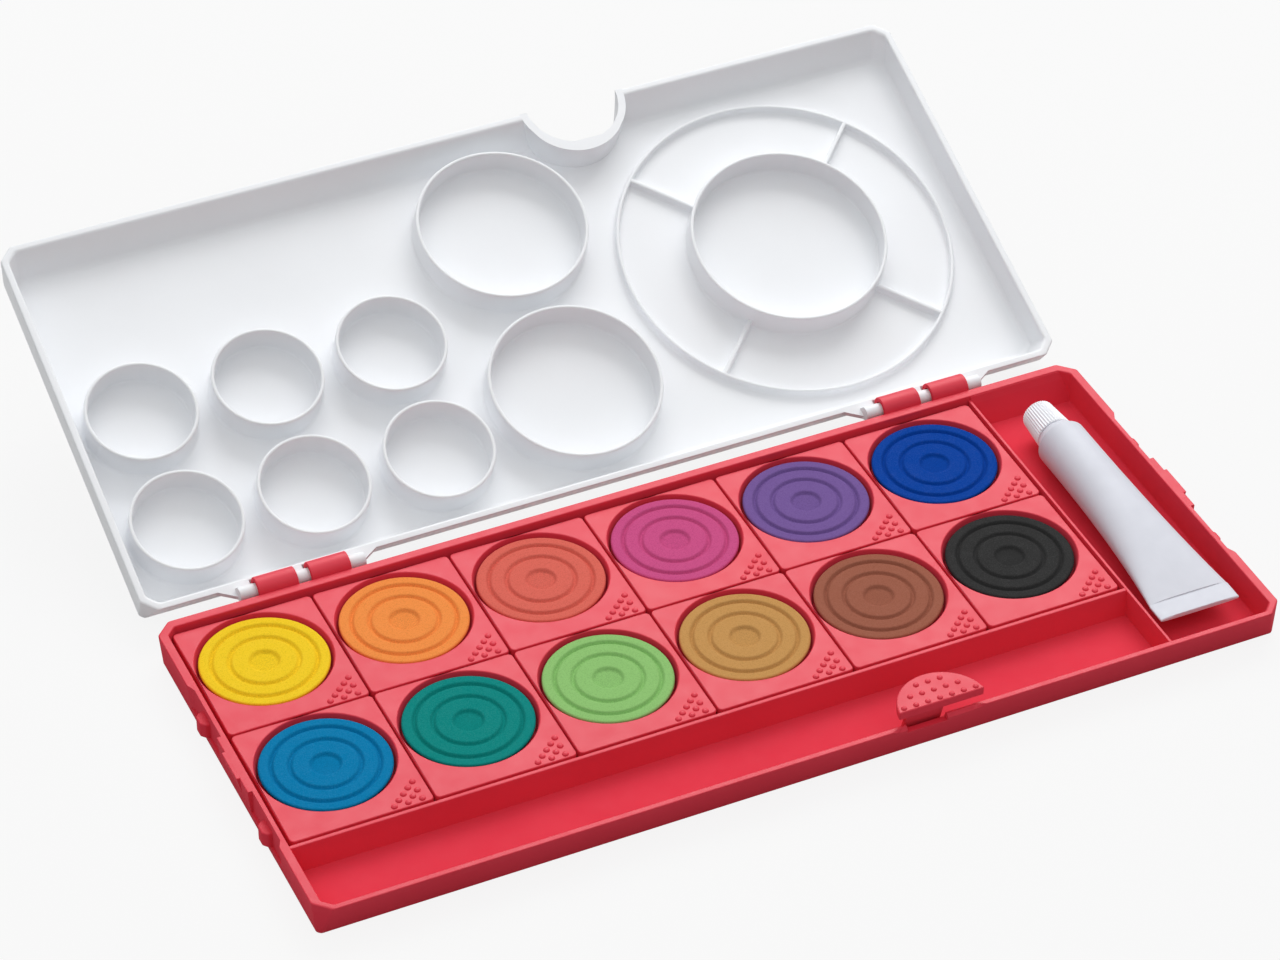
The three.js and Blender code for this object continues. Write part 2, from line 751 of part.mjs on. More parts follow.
// The tube: round at its shoulder and pressed flat towards the crimp
function makeTube() {
  const radius = tubeDiameter / 2;
  const bodyRing = (y, flat) => tubeRing(
    tubeX + crimpShiftX * flat, y, tubeZ - crimpDrop * flat,
    radius + (crimpWidth / 2 - radius) * flat, radius + (crimpThickness / 2 - radius) * flat, tubeSides);
  const rings = [bodyRing(crimpY, 1)];
  tubeStationShares.forEach((share, i) => {
    rings.push(bodyRing(crimpY + crimpLength + share * tubeBodyLength, tubeFlatShares[i]));
  });
  for (const y of [neckY, neckY + neckLength]) {
    rings.push(tubeRing(tubeX, y, tubeZ, neckRadius, neckRadius, tubeSides));
  }
  return named('tube', geometryOf(skinned(rings)),
    new THREE.MeshStandardMaterial({ color: 0xd9dbe2, roughness: 0.35, metalness: 0.2 }));
}

// A hollow screw cap: ribbed outside, open towards the tube
function makeCap() {
  const start = capStart;
  const end = start + capLength;
  const ribbed = (y, radius) => tubeRing(tubeX, y, tubeZ, 1, 1, 2 * capRibs).map(([x, , z], i) => {
    const reach = radius - (i % 2) * capRibDepth;
    return [tubeX + (x - tubeX) * reach, y, tubeZ + (z - tubeZ) * reach];
  });
  const bore = new THREE.CylinderGeometry(neckRadius + runningGap, neckRadius + runningGap,
    capLength - capTopThickness + overrun, tubeSides);
  bore.translate(tubeX, (start - overrun + end - capTopThickness) / 2, tubeZ);
  const cap = skinned([ribbed(start, capBaseRadius), ribbed(end, capEndRadius)]).subtract(solidOf(bore));
  return named('tube_cap', geometryOf(cap), whitePlastic());
}

const box = new THREE.Group();
box.add(makeTray());
const panGeometry = geometryOf(makePan());
const tabletGeometry = geometryOf(makeTablet());
paints.forEach(([colour, hex], index) => {
  const [x, y] = panCentre(index);
  const paint = new THREE.MeshStandardMaterial({ color: hex, roughness: 0.9, metalness: 0 });
  const pan = named(`pan_${colour}`, panGeometry.clone(), redPlastic());
  const tablet = named(`paint_${colour}`, tabletGeometry.clone(), paint);
  for (const mesh of [pan, tablet]) {
    mesh.position.set(x, y, 0);
    box.add(mesh);
  }
});
box.add(openLid(makeLid()));
box.add(makeCatch());
box.add(makeTube());
box.add(makeCap());

export default box;
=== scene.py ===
"""Dresses a school paint box: red tray, twelve colour pans, a tube of white and a palette lid.

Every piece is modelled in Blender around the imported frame. Sizes are millimetres in the frame's own
axes: +X along the box, +Y towards the hinges, +Z up.
"""

import logging
import math
from dataclasses import dataclass
from enum import Enum

import bpy
from mathutils import Matrix, Vector


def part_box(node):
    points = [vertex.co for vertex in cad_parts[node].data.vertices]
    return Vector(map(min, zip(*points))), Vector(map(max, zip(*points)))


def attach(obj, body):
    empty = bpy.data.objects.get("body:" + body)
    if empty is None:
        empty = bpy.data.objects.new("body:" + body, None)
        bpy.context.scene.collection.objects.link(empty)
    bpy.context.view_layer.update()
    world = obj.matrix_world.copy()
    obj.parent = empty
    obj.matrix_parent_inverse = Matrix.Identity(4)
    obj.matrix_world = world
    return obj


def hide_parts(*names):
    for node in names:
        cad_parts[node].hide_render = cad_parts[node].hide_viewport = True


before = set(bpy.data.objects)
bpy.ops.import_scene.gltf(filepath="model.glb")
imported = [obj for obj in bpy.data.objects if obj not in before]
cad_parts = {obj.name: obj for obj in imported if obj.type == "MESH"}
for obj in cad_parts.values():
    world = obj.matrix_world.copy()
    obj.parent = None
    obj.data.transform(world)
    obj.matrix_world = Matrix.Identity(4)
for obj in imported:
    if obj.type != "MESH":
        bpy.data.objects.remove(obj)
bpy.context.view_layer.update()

MM = 0.001
QUARTER = math.pi / 2
FULL = 2 * math.pi
OVERRUN = 1.0
MOULD_CREASE = 40.0
LATHE_CREASE = 50.0
NOISE_SPAN = (0.3, 0.7)
TONE_STOPS = (0.35, 0.65)
HINGE = (53.95, 8.1)
HINGE_CENTRES = (-81.2, 79.5)

Point = tuple[float, float, float]
Flat = tuple[float, float]
Span = tuple[float, float]
Row = tuple[float, ...]
Colour = tuple[float, float, float]
Sides = tuple[float, float, float, float]

log = logging.getLogger("paint_box")


# Colour helpers


def rgb(code: str) -> Colour:
    """Turns a six-digit screen colour into linear red, green and blue.

    Args:
        code: Screen colour such as "d04050".

    Returns:
        The three linear values.
    """
    values = [int(code[i : i + 2], 16) / 255 for i in (0, 2, 4)]
    return tuple(v / 12.92 if v <= 0.04045 else ((v + 0.055) / 1.055) ** 2.4 for v in values)


# Modelling helpers


def take(piece: bpy.types.Object) -> None:
    """Selects one piece alone and makes it active.

    Args:
        piece: The piece to work on.
    """
    bpy.ops.object.select_all(action="DESELECT")
    piece.select_set(True)
    bpy.context.view_layer.objects.active = piece


def lofted(name: str, rings: list[list[Point]]) -> bpy.types.Object:
    """Pulls a flat outline through a row of outlines into a closed body.

    Args:
        name: Name of the new piece.
        rings: Outlines with the same number of points, in order along the body.

    Returns:
        The closed body.
    """
    bpy.ops.object.select_all(action="DESELECT")
    bpy.ops.mesh.primitive_circle_add(vertices=len(rings[0]), radius=1.0, fill_type="NGON")
    piece = bpy.context.active_object
    piece.name = piece.data.name = name
    for vertex, point in zip(piece.data.vertices, rings[0]):
        vertex.co = Vector(point) * MM
    order = list(range(len(rings[0])))
    bpy.ops.object.mode_set(mode="EDIT")
    bpy.ops.mesh.select_mode(type="FACE")
    bpy.ops.mesh.select_all(action="SELECT")
    for ring in rings[1:]:
        bpy.ops.mesh.extrude_region_move()
        bpy.ops.object.mode_set(mode="OBJECT")
        vertices = piece.data.vertices
        old = {tuple(vertices[k].co): i for i, k in enumerate(order)}
        fresh = {old[tuple(v.co)]: v.index for v in vertices if v.select}
        order = [fresh[i] for i in range(len(ring))]
        for index, point in zip(order, ring):
            vertices[index].co = Vector(point) * MM
        bpy.ops.object.mode_set(mode="EDIT")
    bpy.ops.mesh.select_all(action="SELECT")
    bpy.ops.mesh.normals_make_consistent(inside=False)
    bpy.ops.object.mode_set(mode="OBJECT")
    return piece


def turned(name: str, profile: list[Flat], sides: int, centre: Flat = (0.0, 0.0)) -> bpy.types.Object:
    """Turns a profile about an upright line into a closed round body.

    Args:
        name: Name of the new piece.
        profile: Radius and height of each step, neither end at radius zero.
        sides: How many sides stand for the circle.
        centre: Where the upright line stands.

    Returns:
        The closed body.
    """
    rings = [[(x, y, z) for x, y in circle(centre, radius, sides)] for radius, z in profile]
    return lofted(name, rings)


def prism(name: str, outline: list[Flat], low: float, high: float) -> bpy.types.Object:
    """Makes an upright body on a flat outline.

    Args:
        name: Name of the new piece.
        outline: X and Y of its corners.
        low: Height of its underside.
        high: Height of its top.

    Returns:
        The closed body.
    """
    return lofted(name, [[(x, y, z) for x, y in outline] for z in (low, high)])


def beam(name: str, outline: list[Flat], low: float, high: float) -> bpy.types.Object:
    """Makes a body along X on an upright outline.

    Args:
        name: Name of the new piece.
        outline: Y and Z of its corners.
        low: X of its left end.
        high: X of its right end.

    Returns:
        The closed body.
    """
    return lofted(name, [[(x, y, z) for y, z in outline] for x in (low, high)])


def combine(piece: bpy.types.Object, tool: bpy.types.Object, how: str) -> None:
    """Cuts, joins or trims a piece with another, which is used up.

    Args:
        piece: The piece to change.
        tool: The body that changes it.
        how: DIFFERENCE, UNION or INTERSECT.
    """
    take(piece)
    modifier = piece.modifiers.new("shape", "BOOLEAN")
    modifier.operation = how
    modifier.solver = "EXACT"
    modifier.object = tool
    bpy.ops.object.modifier_apply(modifier=modifier.name)
    bpy.data.objects.remove(tool, do_unlink=True)


def joined(name: str, parts: list[bpy.types.Object]) -> bpy.types.Object:
    """Puts several bodies into one piece.

    Args:
        name: Name of the piece.
        parts: The bodies, the first of which stays.

    Returns:
        The one piece.
    """
    take(parts[0])
    for part in parts[1:]:
        part.select_set(True)
    bpy.ops.object.join()
    piece = bpy.context.active_object
    piece.name = piece.data.name = name
    return piece


def copied(piece: bpy.types.Object, name: str, shift: Point) -> bpy.types.Object:
    """Copies a piece with its own mesh to another place.

    Args:
        piece: The piece to copy.
        name: Name of the copy.
        shift: How far the copy is moved.

    Returns:
        The copy.
    """
    twin = piece.copy()
    twin.data = piece.data.copy()
    twin.name = twin.data.name = name
    twin.data.transform(Matrix.Translation(Vector(shift) * MM))
    bpy.context.scene.collection.objects.link(twin)
    return twin


def soften(piece: bpy.types.Object, width: float, steps: int = 2, from_degrees: float = 28.0) -> None:
    """Rounds a piece's edges and lets its curved faces run smoothly into each other.

    Args:
        piece: The piece to finish.
        width: How far each rounding reaches.
        steps: How many faces make a rounding.
        from_degrees: Edges whose faces meet at less than this stay as they are.
    """
    take(piece)
    bevel = piece.modifiers.new("bevel", "BEVEL")
    bevel.width = width * MM
    bevel.segments = steps
    bevel.limit_method = "ANGLE"
    bevel.angle_limit = math.radians(from_degrees)
    bevel.miter_outer = "MITER_ARC"
    bpy.ops.object.modifier_apply(modifier=bevel.name)
    smooth(piece)


def smooth(piece: bpy.types.Object, degrees: float = MOULD_CREASE, large_faces: int = 60) -> None:
    """Lets faces that meet at a small angle look like one curved face.

    Args:
        piece: The piece to finish.
        degrees: The largest such angle.
        large_faces: How much more the large faces count than the small ones.
    """
    take(piece)
    bpy.ops.object.shade_smooth_by_angle(angle=math.radians(degrees))
    weights = piece.modifiers.new("weights", "WEIGHTED_NORMAL")
    weights.keep_sharp = True
    weights.weight = large_faces
    bpy.ops.object.modifier_apply(modifier=weights.name)


def low_stud(radius: float, height: float, segments: int = 14, rings: int = 8) -> bpy.types.Object:
    """Makes one low round stud about the frame's origin.

    Args:
        radius: Its radius.
        height: Its height.
        segments: Faces round it.
        rings: Faces from pole to pole.

    Returns:
        The stud.
    """
    bpy.ops.object.select_all(action="DESELECT")
    bpy.ops.mesh.primitive_uv_sphere_add(segments=segments, ring_count=rings, radius=radius * MM)
    stud = bpy.context.active_object
    stud.scale.z = height / radius
    bpy.ops.object.transform_apply(location=False, rotation=False, scale=True)
    return stud


def cut_corners(sides: Sides, cuts: Sides) -> list[Flat]:
    """Draws a rectangle with its corners cut off, or left sharp where a cut is zero.

    Args:
        sides: Left, right, front and back.
        cuts: The cuts at the front left, front right, back right and back left.

    Returns:
        Its corners, each place once.
    """
    left, right, front, back = sides
    a, b, c, d = cuts
    corners = [
        (left + a, front), (right - b, front), (right, front + b), (right, back - c),
        (right - c, back), (left + d, back), (left, back - d), (left, front + a),
    ]
    return list(dict.fromkeys(corners))


def drawn_in(sides: Sides, insets: Sides, more: float = 0.0) -> Sides:
    """Draws a rectangle's sides in.

    Args:
        sides: Left, right, front and back.
        insets: How far each side is drawn in.
        more: Drawn in on all sides besides.

    Returns:
        The new sides.
    """
    left, right, front, back = (inset + more for inset in insets)
    return (sides[0] + left, sides[1] - right, sides[2] + front, sides[3] - back)


def eased(
    sides: Sides, cut: float, radius: float, steps: int = 3, largest_share: float = 0.45
) -> list[Flat]:
    """Draws a rectangle with cut corners, whose eight points are rounded a little.

    Args:
        sides: Left, right, front and back.
        cut: How far each corner is cut.
        radius: How far a rounding reaches along its edges.
        steps: Steps in each rounding.
        largest_share: The largest share of an edge that one rounding takes.

    Returns:
        The points of the outline, as many for any cut.
    """
    corners = [Vector(corner) for corner in cut_corners(sides, (cut,) * 4)]
    outline: list[Flat] = []
    for i, corner in enumerate(corners):
        before, after = corners[i - 1] - corner, corners[(i + 1) % len(corners)] - corner
        start = corner + before * min(radius / before.length, largest_share)
        end = corner + after * min(radius / after.length, largest_share)
        for step in range(steps + 1):
            share = step / steps
            point = start * (1 - share) ** 2 + corner * 2 * share * (1 - share) + end * share**2
            outline.append((point.x, point.y))
    return outline


def arc(centre: Flat, radius: float, start: float, end: float, steps: int) -> list[Flat]:
    """Draws part of a circle.

    Args:
        centre: The circle's middle.
        radius: Its radius.
        start: Angle of the first point, in radians.
        end: Angle of the last point, in radians.
        steps: Number of steps between them.

    Returns:
        The points of the arc.
    """
    angles = [start + (end - start) * i / steps for i in range(steps + 1)]
    return [(centre[0] + radius * math.cos(a), centre[1] + radius * math.sin(a)) for a in angles]


def circle(centre: Flat, radius: float, sides: int) -> list[Flat]:
    """Draws a whole circle.

    Args:
        centre: The circle's middle.
        radius: Its radius.
        sides: How many sides stand for it.

    Returns:
        The points of the circle, each place once.
    """
    return arc(centre, radius, 0.0, FULL, sides)[:-1]


def rounding(radius: float) -> list[Flat]:
    """Draws a quarter round for an edge.

    Args:
        radius: Its radius.

    Returns:
        At each step, how far it still is from the edge's end, and how far it is drawn in.
    """
    turns = [math.radians(angle) for angle in (0, 30, 60, 90)]
    return [(radius * (1 - math.sin(turn)), radius * (1 - math.cos(turn))) for turn in turns]


def rounded_box(sides: Sides, radius: float, steps: int) -> list[Flat]:
    """Draws a rectangle with round corners.

    Args:
        sides: Left, right, front and back.
        radius: Radius of the corners.
        steps: Steps in each corner.

    Returns:
        The points of the outline.
    """
    left, right, front, back = sides
    corners = [
        ((left + radius, front + radius), 2), ((right - radius, front + radius), 3),
        ((right - radius, back - radius), 0), ((left + radius, back - radius), 1),
    ]
    outline: list[Flat] = []
    for centre, turns in corners:
        outline += arc(centre, radius, turns * QUARTER, (turns + 1) * QUARTER, steps)
    return outline


@dataclass(frozen=True)
class LeaningWall:
    """A wall round a rectangle with cut corners, drawn in evenly from one height to another."""

    sides: Sides
    leans: Sides
    heights: Span
    cuts: Span
    radius: float = 0.45

    def ring(self, height: float, more: float = 0.0) -> list[Point]:
        """Draws the wall's outline.

        Args:
            height: Its height.
            more: How far it is drawn in besides, as for a rounding.

        Returns:
            The outline.
        """
        start, end = self.heights
        share = (height - start) / (end - start)
        sides = drawn_in(self.sides, tuple(lean * share for lean in self.leans), more)
        cut = self.cuts[0] + (self.cuts[1] - self.cuts[0]) * share
        return [(x, y, height) for x, y in eased(sides, cut, self.radius)]


def dress(piece: bpy.types.Object, finish: bpy.types.Material, slot: str, body: str, *nodes: str) -> None:
    """Gives a finished piece its material and ties it to the frame.

    Args:
        piece: The finished piece.
        finish: Its material.
        slot: Name of a material slot; not used.
        body: The body that it moves with.
        nodes: The frame's nodes that it stands for.
    """
    piece.data.materials.clear()
    piece.data.materials.append(finish)
    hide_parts(*nodes)
    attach(piece, body)
    log.info("%s: %d faces on body %s", piece.name, len(piece.data.polygons), body)


# Materials


class Recipe:
    """Builds one material from nodes that read Object coordinates."""

    def __init__(self, name: str) -> None:
        """Starts a material.

        Args:
            name: Name of the material.
        """
        self.material = bpy.data.materials.new(name)
        self.material.use_nodes = True
        self.nodes = self.material.node_tree.nodes
        self.links = self.material.node_tree.links
        self.shader = self.nodes["Principled BSDF"]
        outputs = self.nodes.new("ShaderNodeTexCoord").outputs
        self.place, self.facing = outputs["Object"], outputs["Normal"]

    def noise(self, scale: float, detail: float = 2.0, roughness: float = 0.5) -> bpy.types.NodeSocket:
        """Adds a noise.

        Args:
            scale: Waves per metre.
            detail: Number of finer layers.
            roughness: Weight of the finer layers.

        Returns:
            The noise's value.
        """
        node = self.nodes.new("ShaderNodeTexNoise")
        node.inputs["Scale"].default_value = scale
        node.inputs["Detail"].default_value = detail
        node.inputs["Roughness"].default_value = roughness
        self.links.new(self.place, node.inputs["Vector"])
        return node.outputs["Fac"]

    def upward(self, vector: bpy.types.NodeSocket) -> bpy.types.NodeSocket:
        """Gives the upward part of a vector.

        Args:
            vector: Each point's place, or the way that it faces.

        Returns:
            Its height, or how far it faces up.
        """
        node = self.nodes.new("ShaderNodeSeparateXYZ")
        self.links.new(vector, node.inputs["Vector"])
        return node.outputs["Z"]

    def total(self, *values: bpy.types.NodeSocket) -> bpy.types.NodeSocket:
        """Adds values up, to one at most.

        Args:
            values: The values.

        Returns:
            Their sum.
        """
        result = values[0]
        for value in values[1:]:
            node = self.nodes.new("ShaderNodeMath")
            node.use_clamp = True
            self.links.new(result, node.inputs[0])
            self.links.new(value, node.inputs[1])
            result = node.outputs["Value"]
        return result

    def span(self, value: bpy.types.NodeSocket, low: Span, high: Span) -> bpy.types.NodeSocket:
        """Stretches a value from one range to another.

        Args:
            value: The value.
            low: Lowest and highest incoming value.
            high: What they become.

        Returns:
            The stretched value.
        """
        node = self.nodes.new("ShaderNodeMapRange")
        for name, number in zip(("From Min", "From Max", "To Min", "To Max"), (*low, *high)):
            node.inputs[name].default_value = number
        self.links.new(value, node.inputs["Value"])
        return node.outputs["Result"]

    def tint(self, value: bpy.types.NodeSocket, stops: list[tuple[float, Colour]]) -> None:
        """Colours the surface by a value.

        Args:
            value: The value that picks the colour.
            stops: Places along it, with their colours.
        """
        ramp = self.nodes.new("ShaderNodeValToRGB")
        while len(ramp.color_ramp.elements) < len(stops):
            ramp.color_ramp.elements.new(0.5)
        for element, (place, colour) in zip(ramp.color_ramp.elements, stops):
            element.position = place
            element.color = (*colour, 1.0)
        self.links.new(value, ramp.inputs["Fac"])
        self.links.new(ramp.outputs["Color"], self.shader.inputs["Base Color"])

    def rough(
        self, value: bpy.types.NodeSocket, low: float, high: float, *more: bpy.types.NodeSocket
    ) -> None:
        """Varies the roughness with a value.

        Args:
            value: The value.
            low: Roughness at its low end.
            high: Roughness at its high end.
            more: Roughness that is added to it.
        """
        total = self.total(self.span(value, NOISE_SPAN, (low, high)), *more)
        self.links.new(total, self.shader.inputs["Roughness"])

    def bump(self, layers: list[tuple[bpy.types.NodeSocket, float]]) -> None:
        """Raises the surface by several patterns, one after the other.

        Args:
            layers: Each pattern with its height in millimetres.
        """
        normal = None
        for value, height in layers:
            node = self.nodes.new("ShaderNodeBump")
            node.inputs["Strength"].default_value = 1.0
            node.inputs["Distance"].default_value = height * MM
            self.links.new(value, node.inputs["Height"])
            if normal is not None:
                self.links.new(normal, node.inputs["Normal"])
            normal = node.outputs["Normal"]
        self.links.new(normal, self.shader.inputs["Normal"])

    def set(self, **values: float) -> None:
        """Sets single numbers on the shader.

        Args:
            values: Socket names with underscores for spaces, and their numbers.
        """
        for name, value in values.items():
            self.shader.inputs[name.replace("_", " ")].default_value = value


@dataclass(frozen=True)
class MouldedPlastic:
    """Moulded plastic with a fine satin grain; its floors and sides can be more matte than its tops."""

    name: str
    colour: Colour
    deep: Colour
    roughness: Span
    grain_mm: float = 0.004
    gloss: float = 0.5
    matte_share: float = 0.0
    matte_mm: Span = (5.6, 6.8)
    matte_facing: Span = (0.35, 0.85)
    tone_noise: Row = (35.0, 3.0)
    sheen_noise: Row = (220.0, 4.0)
    swell_waves: float = 45.0
    swell_mm: float = 0.01
    grain_noise: Row = (4200.0, 2.0, 0.6)

    def make(self) -> bpy.types.Material:
        """Builds the material."""
        recipe = Recipe(self.name)
        recipe.tint(recipe.noise(*self.tone_noise), list(zip(TONE_STOPS, (self.deep, self.colour))))
        low, high = (height * MM for height in self.matte_mm)
        matte = recipe.total(
            recipe.span(recipe.upward(recipe.place), (low, high), (self.matte_share, 0.0)),
            recipe.span(recipe.upward(recipe.facing), self.matte_facing, (self.matte_share, 0.0)),
        )
        recipe.rough(recipe.noise(*self.sheen_noise), *self.roughness, matte)
        swell, grain = recipe.noise(self.swell_waves), recipe.noise(*self.grain_noise)
        recipe.bump([(swell, self.swell_mm), (grain, self.grain_mm)])
        recipe.set(Specular_IOR_Level=self.gloss)
        return recipe.material


@dataclass(frozen=True)
class PressedColour:
    """A dry pressed tablet of water colour, with painted shade on its lower parts."""

    name: str
    colour: Colour
    grain_mm: float
    deep_share: float = 0.78
    chalk: float = 0.02
    grooves_mm: Span = (5.9, 6.75)
    # Painted shade: how far the tint value drops towards the deep tone below the grooves' top.
    painted_shade_drop: float = -0.14
    grain_noise: Row = (3600.0, 2.0, 0.6)
    grain_stops: Row = (0.25, 0.5, 0.75)
    dust_noise: Row = (300.0, 3.0)
    roughness: Span = (0.78, 0.94)
    swell_noise: Row = (500.0, 2.0)
    swell_share: float = 0.6
    gloss: float = 0.08

    def make(self) -> bpy.types.Material:
        """Builds the material."""
        recipe = Recipe(self.name)
        grain = recipe.noise(*self.grain_noise)
        # Painted shade: parts below the top (grooves, dimple, rounded edge and side) are tinted towards the
        # deep tone.
        low, high = (height * MM for height in self.grooves_mm)
        painted_low_shade = recipe.span(recipe.upward(recipe.place), (low, high), (self.painted_shade_drop, 0.0))
        deep = tuple(value * self.deep_share for value in self.colour)
        light = tuple(value + (1.0 - value) * self.chalk for value in self.colour)
        recipe.tint(recipe.total(grain, painted_low_shade), list(zip(self.grain_stops, (deep, self.colour, light))))
        recipe.rough(recipe.noise(*self.dust_noise), *self.roughness)
        swell = recipe.noise(*self.swell_noise)
        recipe.bump([(swell, self.grain_mm * self.swell_share), (grain, self.grain_mm)])
        recipe.set(Specular_IOR_Level=self.gloss)
        return recipe.material


@dataclass(frozen=True)
class LacqueredTube:
    """Soft aluminium under a white lacquer."""

    name: str
    colour: Colour
    deep: Colour
    tone_noise: Row = (60.0, 3.0)
    sheen_noise: Row = (500.0, 4.0)
    roughness: Span = (0.52, 0.64)
    dent_noise: Row = (120.0, 3.0)
    dent_mm: float = 0.12
    grain_noise: Row = (2600.0, 2.0)
    grain_mm: float = 0.003
    metallic: float = 0.04

    def make(self) -> bpy.types.Material:
        """Builds the material."""
        recipe = Recipe(self.name)
        recipe.tint(recipe.noise(*self.tone_noise), list(zip(TONE_STOPS, (self.deep, self.colour))))
        recipe.rough(recipe.noise(*self.sheen_noise), *self.roughness)
        dents, grain = recipe.noise(*self.dent_noise), recipe.noise(*self.grain_noise)
        recipe.bump([(dents, self.dent_mm), (grain, self.grain_mm)])
        recipe.set(Metallic=self.metallic)
        return recipe.material


RED = MouldedPlastic("red_moulding", rgb("e5364a"), rgb("e13246"), (0.38, 0.48), gloss=0.42, matte_share=0.5)
WHITE = MouldedPlastic("white_moulding", rgb("f5f7fa"), rgb("f3f5f8"), (0.38, 0.5), 0.002)
LACQUER = LacqueredTube("tube_lacquer", rgb("d8dae3"), rgb("d3d5de"))
CAP_WHITE = MouldedPlastic("cap_moulding", rgb("f5f6fb"), rgb("f1f2f7"), (0.38, 0.5), 0.002)


class Paint(Enum):
    """The twelve colours: tone, and the grain's height in millimetres."""

    YELLOW = ("f6cf26", 0.012)
    ORANGE = ("f49248", 0.015)
    VERMILION = ("dc685a", 0.025)
    MAGENTA = ("ca5086", 0.02)
    VIOLET = ("745898", 0.02)
    ULTRAMARINE = ("00409c", 0.003)
    CYAN = ("007cb0", 0.025)
    TURQUOISE = ("068680", 0.025)
    GREEN = ("90c474", 0.02)
    OCHRE = ("c69456", 0.025)
    BROWN = ("9c5e4a", 0.035)
    BLACK = ("303030", 0.06)

    def finish(self) -> PressedColour:
        """Gives the finish of a tablet in this colour."""
        tone, grain = self.value
        return PressedColour(f"pressed_{self.name.lower()}", rgb(tone), grain)


# The pans and their tablets


@dataclass
class ColourPans:
    """Twelve lift-out pans, each with a round well, a studded grip and a tablet of colour."""

    half_width: float = 16.8
    half_depth: float = 18.61
    foot: float = 1.4
    top: float = 7.4
    taper: float = 2.0
    taper_height: float = 1.7
    corner: float = 1.1
    corner_steps: int = 4
    edge: float = 0.28
    edge_steps: int = 3
    well: Flat = (-0.5, 2.4)
    well_radius: float = 15.9
    well_floor: float = 3.4
    well_lean: float = 0.9
    well_sides: int = 96
    tablet_radius: float = 15.0
    tablet_top: float = 6.87
    tablet_foot: float = 3.8
    tablet_foot_inset: float = 1.2
    tablet_sides: int = 80
    edge_round: float = 0.55
    edge_start: float = -0.2
    edge_turns: int = 5
    top_inset: float = 0.3
    top_step: float = 0.2
    top_end: float = 0.4
    grooves: tuple[Row, ...] = ((12.1, 0.8, 0.7), (7.95, 0.85, 0.65))
    dimple: Row = (3.4, 0.5, 0.7)
    stud_radius: float = 0.78
    stud_height: float = 0.46
    grip_steps: int = 5
    grip_pitch: Flat = (1.65, 1.45)
    grip_margin: Flat = (2.45, 1.25)

    def make_pan(self) -> bpy.types.Object:
        """Makes one pan about its own middle."""
        levels = [(self.foot, self.taper), (self.foot + self.taper_height, 0.0), (self.top, 0.0)]
        rings = []
        for height, inset in levels:
            half_x = self.half_width - inset
            half_y = self.half_depth - inset
            outline = rounded_box((-half_x, half_x, -half_y, half_y), self.corner, self.corner_steps)
            rings.append([(x, y, height) for x, y in outline])
        pan = lofted("pan", rings)
        slope = self.well_lean / (self.top - self.well_floor)
        well = turned("well", [
            (self.well_radius - self.well_lean, self.well_floor),
            (self.well_radius + slope * OVERRUN, self.top + OVERRUN),
        ], self.well_sides, self.well)
        combine(pan, well, "DIFFERENCE")
        soften(pan, self.edge, self.edge_steps)
        stud = low_stud(self.stud_radius, self.stud_height)
        studs = []
        for column in range(self.grip_steps):
            for level in range(column % 2, self.grip_steps - column, 2):
                x = self.half_width - self.grip_margin[0] - column * self.grip_pitch[0]
                y = -self.half_depth + self.grip_margin[1] + level * self.grip_pitch[1]
                studs.append(copied(stud, "grip", (x, y, self.top)))
        bpy.data.objects.remove(stud, do_unlink=True)
        pan = joined("pan", [pan, *studs])
        smooth(pan)
        return pan

    def tablet_height(self, radius: float) -> float:
        """Gives the height of the tablet's top.

        Args:
            radius: Distance from its middle.

        Returns:
            The height above the table.
        """
        height = self.tablet_top
        for centre, half, depth in self.grooves:
            away = abs(radius - centre) / half
            if away < 1.0:
                height -= depth * (0.5 + 0.5 * math.cos(math.pi * away))
        edge, ease, depth = self.dimple
        inside = min(max((edge + ease - radius) / (2 * ease), 0.0), 1.0)
        return height - depth * inside * inside * (3 - 2 * inside)

    def make_tablet(self) -> bpy.types.Object:
        """Makes one tablet about its pan's middle."""
        profile = [(self.tablet_radius - self.tablet_foot_inset, self.tablet_foot)]
        round_centre = (self.tablet_radius - self.edge_round, self.tablet_top - self.edge_round)
        profile += arc(round_centre, self.edge_round, self.edge_start, QUARTER, self.edge_turns)
        radius = round_centre[0] - self.top_inset
        while radius > self.top_end:
            profile.append((radius, self.tablet_height(radius)))
            radius -= self.top_step
        tablet = turned("tablet", profile, self.tablet_sides, self.well)
        smooth(tablet, LATHE_CREASE)
        return tablet

    def build(self, red: bpy.types.Material) -> None:
        """Makes all pans and tablets in their places.

        Args:
            red: The pans' material.
        """
        pan = self.make_pan()
        tablet = self.make_tablet()
        for paint in Paint:
            colour = paint.name.lower()
            low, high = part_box(f"pan_{colour}")
            centre = (low + high) / 2 / MM
            shift = (centre.x, centre.y, 0.0)
            body = f"pan_{colour}"
            dress(copied(pan, f"colour_pan_{colour}", shift), red, "red_plastic", body, body)
            piece = copied(tablet, f"tablet_{colour}", shift)
            dress(piece, paint.finish().make(), f"paint_{colour}", body, f"paint_{colour}")
        for pattern in (pan, tablet):
            bpy.data.objects.remove(pattern, do_unlink=True)


# The tray


